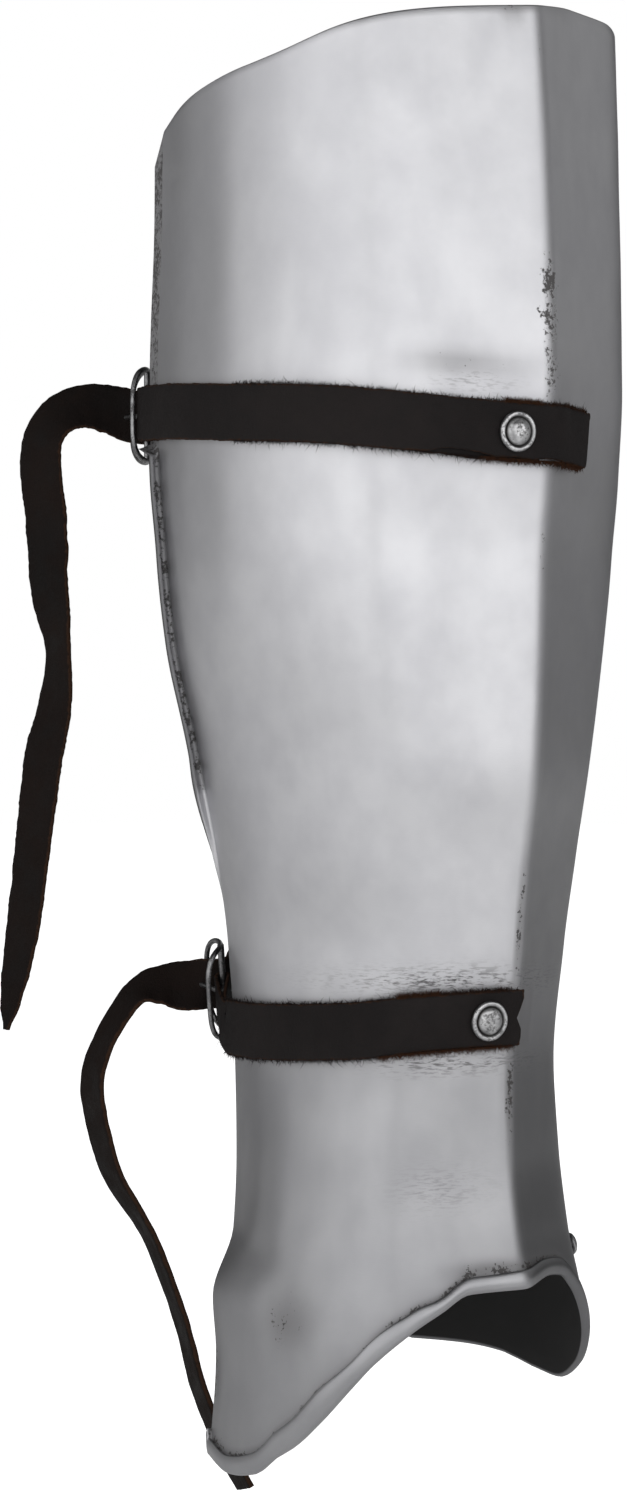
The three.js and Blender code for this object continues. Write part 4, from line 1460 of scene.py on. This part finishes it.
@dataclass
class LongStrap:
    """Strap from the inner wing round behind the leg, through the buckle and down in its free end."""

    name: str
    buckle: Buckle
    height: float
    free_end: Sequence[FreeEnd]
    cut: Cut
    start: float = 0.83
    wing_steps: int = 34
    first_step: int = 29
    past_fold: tuple[float, ...] = (1.07, 1.14, 1.2)
    slack: float = 22.0
    behind_steps: int = 16
    window: float = 5.9
    window_proud: float = 4.0
    turn_radius: float = 2.3
    turn_steps: int = 4
    step: float = 1.0

    def stations(self) -> list[Station]:
        """Lays out the whole strap.

        Returns:
            The stations from the rivet on the inner wing to the tip of the free end.
        """
        shell, buckle, radius = self.buckle.shell, self.buckle, self.turn_radius
        lift, width = SKIN_GAP + LONG_STRAP / 2, shell.strap_width
        even = (k / self.wing_steps for k in range(self.first_step, self.wing_steps + 1))
        shares = (self.start, *even, *self.past_fold)
        wing = [shell.station(INNER, self.height, share, lift) for share in shares]
        leave, reach = wing[-1], self.window + radius
        handles = (
            leave.centre,
            leave.centre + in_plan(INNER, shell.straight_back) * self.slack,
            buckle.at(reach + self.slack, -radius, 0),
            buckle.at(reach, -radius, 0),
        )
        behind, turn = [], []
        for k in range(1, self.behind_steps + 1):
            t = k / self.behind_steps
            across = leave.across.lerp(buckle.up, t).normalized()
            behind.append(Station(bezier(handles, t)[0], across, width))
        for k in range(1, self.turn_steps + 1):
            angle = math.pi / 2 * k / self.turn_steps
            along = self.window + radius * (1 - math.sin(angle))
            turn.append(Station(buckle.at(along, -radius * math.cos(angle), 0), buckle.up, width))
        return [*wing, *behind, *turn, *self.free_stations()]

    def free_stations(self) -> list[Station]:
        """Lays out the free end on a smooth curve through its table.

        Returns:
            Its stations.
        """
        buckle = self.buckle
        plumb_along, plumb_out = in_plan(OUTER, PAST_WING), in_plan(OUTER, OFF_WING)
        points = [buckle.at(self.window, self.window_proud, 0)]
        for row in self.free_end:
            base = Vector((buckle.middle.x, buckle.middle.y, row.height))
            points.append(base + plumb_out * row.out + plumb_along * (self.window - row.toward))
        rows = [replace(self.free_end[0], turned=0), *self.free_end]
        path = smooth_path(points, 4)
        stations = []
        for i, (centre, place) in enumerate(path):
            along = (path[min(i + 1, len(path) - 1)][0] - path[max(i - 1, 0)][0]).normalized()
            low = min(int(place), len(rows) - 2)
            here, there = rows[low], rows[low + 1]
            ease = (place - low) ** 2 * (3 - 2 * (place - low))
            flat = buckle.up if i == 0 else plumb_along.cross(along).normalized()
            across = Quaternion(along, math.radians(lerp(here.turned, there.turned, ease))) @ flat
            stations.append(Station(centre, across, lerp(here.width, there.width, ease)))
        return stations

    def dress(self, maker: StrapMaker, leather: bpy.types.Material) -> None:
        """Builds the strap and gives it its finish."""
        piece = maker.build(f"{self.name}_long_leather", maker.fine(self.stations(), self.step), self.cut)
        finish_piece(piece, Slot.LEATHER, leather, f"{self.name}_long_strap")


@dataclass
class Rivet:
    """One round rivet or stud with its head outside and a small head inside the plate."""

    shell: Shell
    name: str
    node: str
    side: Wing
    height: float
    share: float
    lift: float
    head: Sequence[Turned]
    nub: float
    nub_middle: tuple[float, float] = (0.35, -0.3)
    nub_width: float = 2.1
    nub_soft: float = 0.3
    nub_full: float = 1.15
    nub_above: float = 1.0
    sides: int = 56
    worn_round: float = 0.012
    groove: float = 4.05
    groove_width: float = 0.45
    shank: float = 1.9
    back_head: float = 3.6
    back_top: float = 2.5
    back_gap: float = 0.9
    back_rise: float = 1.0

    def build(self) -> bpy.types.Object:
        """Builds the rivet by turning its outline round its axis.

        Returns:
            The rivet.
        """
        axis = self.shell.normal_at(self.side, self.height, self.share)
        base = self.shell.lifted(self.side, self.height, self.share, 0)
        one = axis.cross(UP).normalized()
        two = axis.cross(one)
        inside = -self.shell.sheet - self.back_gap
        top = inside - self.back_rise
        head = [Vector((row.radius, row.rise, 0)) for row in self.head]
        outline = [(point.x, self.lift + point.y) for point, _ in smooth_path(head, 5)]
        outline += [(self.shank, self.lift), (self.shank, inside), (self.back_head - 0.2, inside)]
        outline += [(self.back_head, inside - 0.3), (self.back_top, top), (0.0, top)]
        points, unshaded_by_groove = [], []
        for radius, rise in outline:
            groove = math.exp(-(((radius - self.groove) / self.groove_width) ** 2))
            for angle in whole_turn(self.sides):
                x, y = math.cos(angle), math.sin(angle)
                worn = 1 + self.worn_round * noise_at(x * 2, y * 2, self.height)
                lump = self.nub_rise(radius * x, radius * y) if rise > self.lift + self.nub_above else 0.0
                spoke = (one * x + two * y) * (max(radius, 0.001) * worn)
                points.append(base + axis * (rise + lump) + spoke)
                # Painted shade: the mask drops in the head's groove, where the finish darkens the steel.
                unshaded_by_groove.append(1.0 - (groove if self.head is RIVET_HEAD else 0.0))
        faces = outward(points, capped_faces(len(outline), self.sides))
        return mesh_piece(self.name, points, faces, {"unshaded_by_groove": unshaded_by_groove})

    def nub_rise(self, x: float, y: float) -> float:
        """Returns how high the six-sided peened nub stands at a place on the head.

        Args:
            x: Distance to one side of the axis.
            y: Distance to the other side of it.

        Returns:
            The height.
        """
        x, y = x - self.nub_middle[0], y - self.nub_middle[1]
        turn = math.atan2(y, x) % (math.pi / 3) - math.pi / 6
        flat = math.hypot(x, y) * math.cos(turn) / self.nub_width
        return self.nub * clamp((self.nub_full - flat) / self.nub_soft)

    def dress(self, steel: bpy.types.Material) -> None:
        """Builds the rivet and gives it its finish."""
        finish_piece(self.build(), Slot.FITTING, steel, self.node)


class Nodes:
    """Short calls for making and joining the nodes of one tree."""

    def __init__(self, tree: bpy.types.NodeTree) -> None:
        """Keeps the tree that the nodes go in."""
        self.tree = tree

    def join(self, socket: bpy.types.NodeSocket, value: object) -> None:
        """Links a socket to another one, or sets its value.

        Args:
            socket: The input.
            value: A socket or a value for it.
        """
        if isinstance(value, bpy.types.NodeSocket):
            self.tree.links.new(value, socket)
        else:
            socket.default_value = value

    def add(self, kind: str, inputs: dict | None = None, **settings: object) -> bpy.types.Node:
        """Adds a node.

        Args:
            kind: Type of the node.
            inputs: Values or sockets for its inputs.
            settings: Properties to set on it.

        Returns:
            The node.
        """
        node = self.tree.nodes.new(kind)
        for name, value in settings.items():
            setattr(node, name, value)
        for key, value in (inputs or {}).items():
            self.join(node.inputs[key], value)
        return node

    def math(self, operation: str, one: object, two: object) -> bpy.types.NodeSocket:
        """Adds a maths node and returns its output."""
        return self.add("ShaderNodeMath", {0: one, 1: two}, operation=operation).outputs[0]

    def plus(self, one: object, two: object) -> bpy.types.NodeSocket:
        """Returns the sum of two values."""
        return self.math("ADD", one, two)

    def minus(self, one: object, two: object) -> bpy.types.NodeSocket:
        """Returns the first value less the second."""
        return self.math("SUBTRACT", one, two)

    def times(self, one: object, two: object) -> bpy.types.NodeSocket:
        """Returns the product of two values."""
        return self.math("MULTIPLY", one, two)

    def most(self, one: object, two: object) -> bpy.types.NodeSocket:
        """Returns the larger of two values."""
        return self.math("MAXIMUM", one, two)

    def weigh(self, one: object, share: float, two: object, other: float) -> bpy.types.NodeSocket:
        """Returns the sum of two values, each times its own share."""
        return self.plus(self.times(one, share), self.times(two, other))

    def smoothed(self, value: object, start: float, end: float) -> bpy.types.NodeSocket:
        """Returns a soft step that rises from 0 to 1 as the value goes from start to end."""
        inputs = {"Value": value, "From Min": start, "From Max": end}
        return self.add("ShaderNodeMapRange", inputs, interpolation_type="SMOOTHSTEP").outputs["Result"]

    def colour(self, amount: object, one: object, two: object) -> bpy.types.NodeSocket:
        """Mixes two colours and returns the result."""
        return self.add("ShaderNodeMix", {0: amount, 6: one, 7: two}, data_type="RGBA").outputs[2]

    def noise(
        self, place: object, scale: object, detail: float = 3.0, rough: float = 0.5
    ) -> bpy.types.NodeSocket:
        """Adds a noise texture and returns its value."""
        inputs = {"Vector": place, "Scale": scale, "Detail": detail, "Roughness": rough}
        return self.add("ShaderNodeTexNoise", inputs).outputs["Fac"]

    def cells(self, place: object, scale: float, wall: float) -> bpy.types.NodeSocket:
        """Adds a pattern of cells and returns 0 on their walls and 1 inside them.

        Args:
            place: Socket of the place.
            scale: Scale of the cells.
            wall: Width of the soft wall.

        Returns:
            The result's socket.
        """
        inputs = {"Vector": place, "Scale": scale}
        cells = self.add("ShaderNodeTexVoronoi", inputs, feature="DISTANCE_TO_EDGE")
        return self.smoothed(cells.outputs["Distance"], 0.0, wall)

    def mask(self, name: str) -> bpy.types.NodeSocket:
        """Reads one of the mesh's masks."""
        return self.add("ShaderNodeAttribute", attribute_name=name).outputs["Fac"]


class EffectGroup:
    """One new shader group with a place, number inputs and one number output."""

    def __init__(self, name: str, output: str, **numbers: float) -> None:
        """Starts the group.

        Args:
            name: Name of the group.
            output: Name of its output.
            numbers: Number inputs and their usual values.
        """
        self.tree = bpy.data.node_groups.new(name, "ShaderNodeTree")
        self.nodes = Nodes(self.tree)
        self.tree.interface.new_socket("Place", in_out="INPUT", socket_type="NodeSocketVector")
        for label, value in numbers.items():
            socket = self.tree.interface.new_socket(label, in_out="INPUT", socket_type="NodeSocketFloat")
            socket.default_value = value
        self.tree.interface.new_socket(output, in_out="OUTPUT", socket_type="NodeSocketFloat")
        self.inputs = self.tree.nodes.new("NodeGroupInput").outputs
        self.end = self.tree.nodes.new("NodeGroupOutput")

    def finish(self, value: bpy.types.NodeSocket) -> bpy.types.NodeTree:
        """Links the group's output and returns the group."""
        self.nodes.join(self.end.inputs[0], value)
        return self.tree


def strewn_specks() -> bpy.types.NodeTree:
    """Makes the group that strews small dark specks where a mask allows them.

    Returns:
        The group.
    """
    group = EffectGroup("strewn specks", "Mask", Scale=400.0, Amount=0.5)
    n, place, scale = group.nodes, group.inputs["Place"], group.inputs["Scale"]
    fine = n.noise(place, scale, 5.0, 0.65)
    wide = n.noise(place, n.times(scale, 0.22))
    limit = n.minus(0.78, n.times(group.inputs["Amount"], 0.34))
    return group.finish(n.smoothed(n.minus(n.weigh(fine, 0.6, wide, 0.4), limit), 0.0, 0.07))


def soft_blotches() -> bpy.types.NodeTree:
    """Makes the group that gives soft uneven patches.

    Returns:
        The group.
    """
    group = EffectGroup("soft blotches", "Value", Scale=25.0)
    value = group.nodes.noise(group.inputs["Place"], group.inputs["Scale"], 4.0, 0.6)
    return group.finish(group.nodes.smoothed(value, 0.3, 0.7))


def fine_lines() -> bpy.types.NodeTree:
    """Makes the group that gives long fine marks round the leg.

    Returns:
        The group.
    """
    group = EffectGroup("fine lines", "Height", Scale=300.0, Stretch=1.0)
    n = group.nodes
    stretch = n.add("ShaderNodeCombineXYZ", {0: 1.0, 1: 1.0, 2: group.inputs["Stretch"]}).outputs["Vector"]
    place = n.add("ShaderNodeVectorMath", {0: group.inputs["Place"], 1: stretch}, operation="MULTIPLY")
    return group.finish(n.noise(place.outputs["Vector"], group.inputs["Scale"], 3.0, 0.6))


@dataclass(frozen=True)
class EffectGroups:
    """Shader groups that the finishes share."""

    specks: bpy.types.NodeTree = field(default_factory=strewn_specks)
    blotches: bpy.types.NodeTree = field(default_factory=soft_blotches)
    lines: bpy.types.NodeTree = field(default_factory=fine_lines)


class Surface:
    """A new material with its nodes, its shader and its place socket."""

    def __init__(self, name: str) -> None:
        """Starts the material.

        Args:
            name: Name of the material.
        """
        self.material = bpy.data.materials.new(name)
        self.material.use_nodes = True
        self.nodes = Nodes(self.material.node_tree)
        self.shader = self.material.node_tree.nodes["Principled BSDF"]
        self.place = self.nodes.add("ShaderNodeTexCoord").outputs["Object"]

    def set(self, label: str, value: object) -> None:
        """Links or sets one input of the shader."""
        self.nodes.join(self.shader.inputs[label], value)

    def effect(self, group: bpy.types.NodeTree, **inputs: object) -> bpy.types.NodeSocket:
        """Places a shared group in the material and returns its output."""
        inputs["Place"] = self.place
        return self.nodes.add("ShaderNodeGroup", inputs, node_tree=group).outputs[0]

    def bump(self, height: bpy.types.NodeSocket, strength: float, distance: float) -> None:
        """Makes the shader's normal follow a height."""
        inputs = {"Strength": strength, "Distance": distance, "Height": height}
        self.set("Normal", self.nodes.add("ShaderNodeBump", inputs).outputs["Normal"])


@dataclass(frozen=True)
class PlateSteel:
    """Worn satin steel of the plate, blackened inside, with painted shade darkening it in places."""

    groups: EffectGroups
    light: Colour = (0.66, 0.66, 0.68, 1)
    dark: Colour = (0.575, 0.575, 0.6, 1)
    # Colour of the painted shade low down and on the inner wing.
    black: Colour = (0.0, 0.0, 0.0, 1)
    inside: Colour = (0.012, 0.0115, 0.0115, 1)
    dirt_and_shade: Colour = (0.035, 0.03, 0.028, 1)
    roughness: float = 0.36
    grain: float = 7.0
    scratch_grain: float = 5.5

    def build(self) -> bpy.types.Material:
        """Builds the material.

        Returns:
            The material.
        """
        s = Surface("worn satin steel")
        n, groups = s.nodes, self.groups
        patches, fine = s.effect(groups.blotches, Scale=22.0), s.effect(groups.blotches, Scale=90.0)
        base = n.colour(n.weigh(patches, 0.7, fine, 0.3), self.light, self.dark)
        # Painted shade: mixes black into the steel low down and over the inner wing.
        base = n.colour(n.mask("painted_shade"), base, self.black)
        grime_and_shade, inside = n.mask("grime_and_shade"), n.mask("inside")
        specks = s.effect(groups.specks, Scale=900.0, Amount=n.plus(0.16, n.times(grime_and_shade, 0.75)))
        line = s.effect(groups.specks, Scale=750.0, Amount=n.mask("crease"))
        marks = n.smoothed(s.effect(groups.lines, Scale=330.0, Stretch=self.scratch_grain), 0.46, 0.64)
        scratch = n.times(marks, n.mask("scratched"))
        # Specks, scratches and dirt mixed with painted shade from the sheet's masks.
        marks_and_shade = n.most(n.most(specks, line), n.most(scratch, n.times(grime_and_shade, 0.5)))
        coloured = n.colour(n.times(marks_and_shade, 0.9), base, self.dirt_and_shade)
        s.set("Base Color", n.colour(inside, coloured, self.inside))
        rough = n.plus(self.roughness, n.times(patches, 0.08))
        s.set("Roughness", n.plus(rough, n.times(n.plus(marks_and_shade, inside), 0.3)))
        s.set("Metallic", n.minus(1.0, n.times(n.most(marks_and_shade, inside), 0.75)))
        brushed = s.effect(groups.lines, Scale=420.0, Stretch=self.grain)
        s.bump(n.weigh(brushed, 0.35, marks_and_shade, -0.8), strength=0.16, distance=0.0003)
        return s.material


@dataclass(frozen=True)
class FittingSteel:
    """Rubbed steel of the rivets, buckles and prongs, with painted shade in the rivets' grooves."""

    name: str
    groups: EffectGroups
    tone: float
    dirt_and_shade: Colour = (0.05, 0.047, 0.045, 1)

    def build(self) -> bpy.types.Material:
        """Builds the material.

        Returns:
            The material.
        """
        s = Surface(self.name)
        n, tone = s.nodes, self.tone
        patches = s.effect(self.groups.blotches, Scale=320.0)
        pale, dark = (tone, tone, tone * 1.01, 1), (tone * 0.55, tone * 0.55, tone * 0.56, 1)
        base = n.colour(patches, pale, dark)
        specks = s.effect(self.groups.specks, Scale=1500.0, Amount=0.75)
        # Painted shade in the rivets' grooves, mixed with dark specks.
        specks_and_groove_shade = n.most(n.times(specks, 0.6), n.minus(1.0, n.mask("unshaded_by_groove")))
        s.set("Base Color", n.colour(specks_and_groove_shade, base, self.dirt_and_shade))
        s.set("Roughness", n.plus(0.34, n.times(specks_and_groove_shade, 0.35)))
        s.set("Metallic", 1.0)
        s.bump(n.minus(patches, n.times(specks, 1.2)), strength=0.35, distance=0.0002)
        return s.material


@dataclass(frozen=True)
class Leather:
    """Dull dark leather, paler and brown where it is cut or rubbed."""

    name: str
    groups: EffectGroups
    face: Colour = (0.0105, 0.0088, 0.0088, 1)
    worn: Colour = (0.021, 0.0175, 0.0172, 1)
    cut: Colour = (0.042, 0.02, 0.011, 1)
    shine: float = 0.12
    roughness: float = 0.62
    cut_from: float = 0.86

    def build(self) -> bpy.types.Material:
        """Builds the material.

        Returns:
            The material.
        """
        s = Surface(self.name)
        n, blotches = s.nodes, self.groups.blotches
        patches, broad = s.effect(blotches, Scale=130.0), s.effect(blotches, Scale=30.0)
        base = n.colour(n.times(n.plus(patches, broad), 0.5), self.face, self.worn)
        ragged = n.times(n.minus(n.noise(s.place, 700.0, 4.0), 0.5), 0.35)
        edge = n.smoothed(n.plus(n.mask("edge"), ragged), self.cut_from, 1.0)
        s.set("Base Color", n.colour(n.times(edge, 0.85), base, self.cut))
        s.set("Roughness", n.plus(self.roughness, n.times(n.most(edge, patches), 0.22)))
        s.set("Specular IOR Level", self.shine)
        pits, creases = n.cells(s.place, 1700.0, 0.12), n.cells(s.place, 420.0, 0.06)
        grain = n.times(n.noise(s.place, 900.0, 5.0, 0.7), 0.9)
        s.bump(n.plus(n.weigh(pits, 0.35, creases, 0.3), grain), strength=0.5, distance=0.0004)
        return s.material


@dataclass
class Studio:
    """Camera, soft lights, plain floor and pale surroundings."""

    distance: float = 1200.0
    sideways: float = -26.9
    sensor: float = 36.0
    lens: float = 98.63
    surroundings_seen: float = 1.0
    surroundings_lit: float = 0.045
    floor_drop: float = 16.0
    floor_reach: float = 9000.0
    floor_glow: float = 0.9
    floor_lit: float = 0.22
    floor_pale: Colour = (0.94, 0.94, 0.94, 1)
    floor_dull: Colour = (0.9, 0.9, 0.9, 1)

    def __post_init__(self) -> None:
        """Works out the camera's own directions in plan."""
        self.back = in_plan(OUTER, 45)
        self.right = Vector((math.sqrt(0.5), -math.sqrt(0.5), 0))

    def place(self, name: str, data: bpy.types.ID, where: Vector, way: Vector) -> bpy.types.Object:
        """Puts a camera or a lamp in the scene, facing along a direction.

        Args:
            name: Name of the object.
            data: Its data.
            where: Its place in metres.
            way: Direction that it faces.

        Returns:
            The object.
        """
        piece = bpy.data.objects.new(name, data)
        piece.location = where
        piece.rotation_euler = way.to_track_quat("-Z", "Y").to_euler()
        bpy.context.scene.collection.objects.link(piece)
        return piece

    def camera(self) -> None:
        """Adds the camera at the photograph's viewing angle."""
        data = bpy.data.cameras.new("view")
        data.sensor_width = self.sensor
        data.lens = self.lens
        data.clip_end = 100
        where = (self.back * self.distance + self.right * self.sideways) * MM
        bpy.context.scene.camera = self.place("view", data, where, -self.back)

    def light(self, row: Light) -> None:
        """Adds one light, hidden from the camera.

        Args:
            row: The light's row of the table.
        """
        data = bpy.data.lights.new(row.name, "AREA")
        data.shape = "RECTANGLE"
        data.size, data.size_y = row.wide, row.tall
        data.energy = row.glow * math.pi * row.wide * row.tall
        turn, rise = math.radians(row.turn), math.radians(row.rise)
        level = self.back * math.cos(turn) + self.right * math.sin(turn)
        way = level * math.cos(rise) + UP * math.sin(rise)
        self.place(row.name, data, way * row.far, -way).visible_camera = False

    def surroundings(self) -> None:
        """Adds the pale background, which lights the greave less than it shows."""
        world = bpy.data.worlds.new("pale surroundings")
        world.use_nodes = True
        n = Nodes(world.node_tree)
        background = world.node_tree.nodes["Background"]
        background.inputs["Color"].default_value = (1, 1, 1, 1)
        seen = n.add("ShaderNodeLightPath").outputs["Is Camera Ray"]
        more = n.times(seen, self.surroundings_seen - self.surroundings_lit)
        n.join(background.inputs["Strength"], n.plus(more, self.surroundings_lit))
        bpy.context.scene.world = world

    def floor(self, low: float) -> None:
        """Adds the plain floor below the greave.

        Args:
            low: Height of the greave's lowest point in metres.
        """
        reach, level = self.floor_reach * MM, low - self.floor_drop * MM
        mesh = bpy.data.meshes.new("floor")
        corners = ((-reach, -reach), (reach, -reach), (reach, reach), (-reach, reach))
        mesh.from_pydata([(x, y, level) for x, y in corners], [], [(0, 1, 2, 3)])
        piece = bpy.data.objects.new("floor", mesh)
        bpy.context.scene.collection.objects.link(piece)
        s = Surface("pale floor")
        n = s.nodes
        s.set("Base Color", n.colour(n.noise(s.place, 3.0), self.floor_dull, self.floor_pale))
        s.set("Roughness", 0.9)
        s.set("Emission Color", (1, 1, 1, 1))
        seen = n.add("ShaderNodeLightPath").outputs["Is Camera Ray"]
        s.set("Emission Strength", n.plus(n.times(seen, self.floor_glow), self.floor_lit))
        mesh.materials.append(s.material)
        piece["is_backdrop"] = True

    def build(self, low: float) -> None:
        """Builds the whole studio.

        Args:
            low: Height of the greave's lowest point in metres.
        """
        bpy.context.scene.view_settings.view_transform = "Standard"
        self.camera()
        self.surroundings()
        for row in LIGHTS:
            self.light(row)
        self.floor(low)
        log.info("studio built")


def build_straps(groups: EffectGroups, upper: Buckle, lower: Buckle) -> None:
    """Builds the four straps and the loose fibres on their edges.

    Args:
        groups: Shared effects.
        upper: The upper buckle.
        lower: The lower buckle.
    """
    maker = StrapMaker()
    doubled = Leather("strap leather", groups).build()
    tail = Leather("free end leather", groups, face=FREE_END_FACE, worn=FREE_END_WORN).build()
    fuzz = Leather("loose fibres", groups, face=FIBRE_FACE, cut=FIBRE_CUT, cut_from=0.4).build()
    cut = Cut(LAYER, end_rag=0.5, wear=UPPER_WEAR)
    torn = Cut(LAYER, seed=11.0, end_rag=0.9, end_slant=0.5, end_notch=1.6, wear=LOWER_WEAR)
    limp = Cut(LONG_STRAP, wavy=0.5, crinkle=0.3, seed=31.0)
    for strap in (
        BuckleStrap("upper", upper, UPPER_LINE, 0.0, 15.0, UPPER_PAST_RIDGE, cut, 5),
        BuckleStrap("lower", lower, LOWER_LINE, 1.5, 12.0, (), torn, 6),
    ):
        strap.dress(maker, doubled, fuzz)
    for strap in (
        LongStrap("upper", upper, UPPER_LEVEL, UPPER_FREE_END, limp),
        LongStrap("lower", lower, LOWER_FAR_LEVEL, LOWER_FREE_END, replace(limp, seed=40.0)),
    ):
        strap.dress(maker, tail)


def main() -> None:
    """Builds the whole greave and its studio."""
    logging.basicConfig(level=logging.INFO, format="%(name)s: %(message)s")
    low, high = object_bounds()
    shell = Shell()
    groups = EffectGroups()
    finish_piece(Plate(shell).build(), Slot.PLATE, PlateSteel(groups).build(), "greave_plate")

    upper = Buckle("upper", shell, height=UPPER_LEVEL, proud=1.2, lean=0, tilt=0)
    lower = Buckle("lower", shell, height=-70.5, proud=2.6, lean=4, tilt=14)
    # The buckles' wire is a darker copy of the rivet steel, as painted shade round the buckles.
    wire = FittingSteel("shaded wire steel", groups, tone=0.34).build()
    fitting = FittingSteel("rubbed rivet steel", groups, tone=0.66).build()
    upper.dress(wire)
    lower.dress(wire)
    build_straps(groups, upper, lower)

    upper_place, lower_place, far = 0.061, 0.07, 0.912
    upper_near = TableCurve(UPPER_LINE, "share", "height")(upper_place)
    lower_near = TableCurve(LOWER_LINE, "share", "height")(lower_place)
    rivets = (
        ("upper_near_head", "upper_near_rivet", OUTER, upper_near, upper_place, DOUBLED_TOP, RIVET_HEAD, 0.3),
        ("lower_near_head", "lower_near_rivet", OUTER, lower_near, lower_place, DOUBLED_TOP, RIVET_HEAD, 0.0),
        ("upper_far_head", "upper_far_rivet", INNER, UPPER_LEVEL, far, SINGLE_TOP, RIVET_HEAD, 0.0),
        ("lower_far_head", "lower_far_rivet", INNER, LOWER_FAR_LEVEL, far, SINGLE_TOP, RIVET_HEAD, 0.0),
        ("rim_stud_dome", "rim_stud", INNER, -145.5, 0.43, SKIN_GAP, STUD_HEAD, 0.0),
    )
    for row in rivets:
        Rivet(shell, *row).dress(fitting)

    Studio().build(low.z)
    log.info("sizes written")


if __name__ == "__main__":
    main()
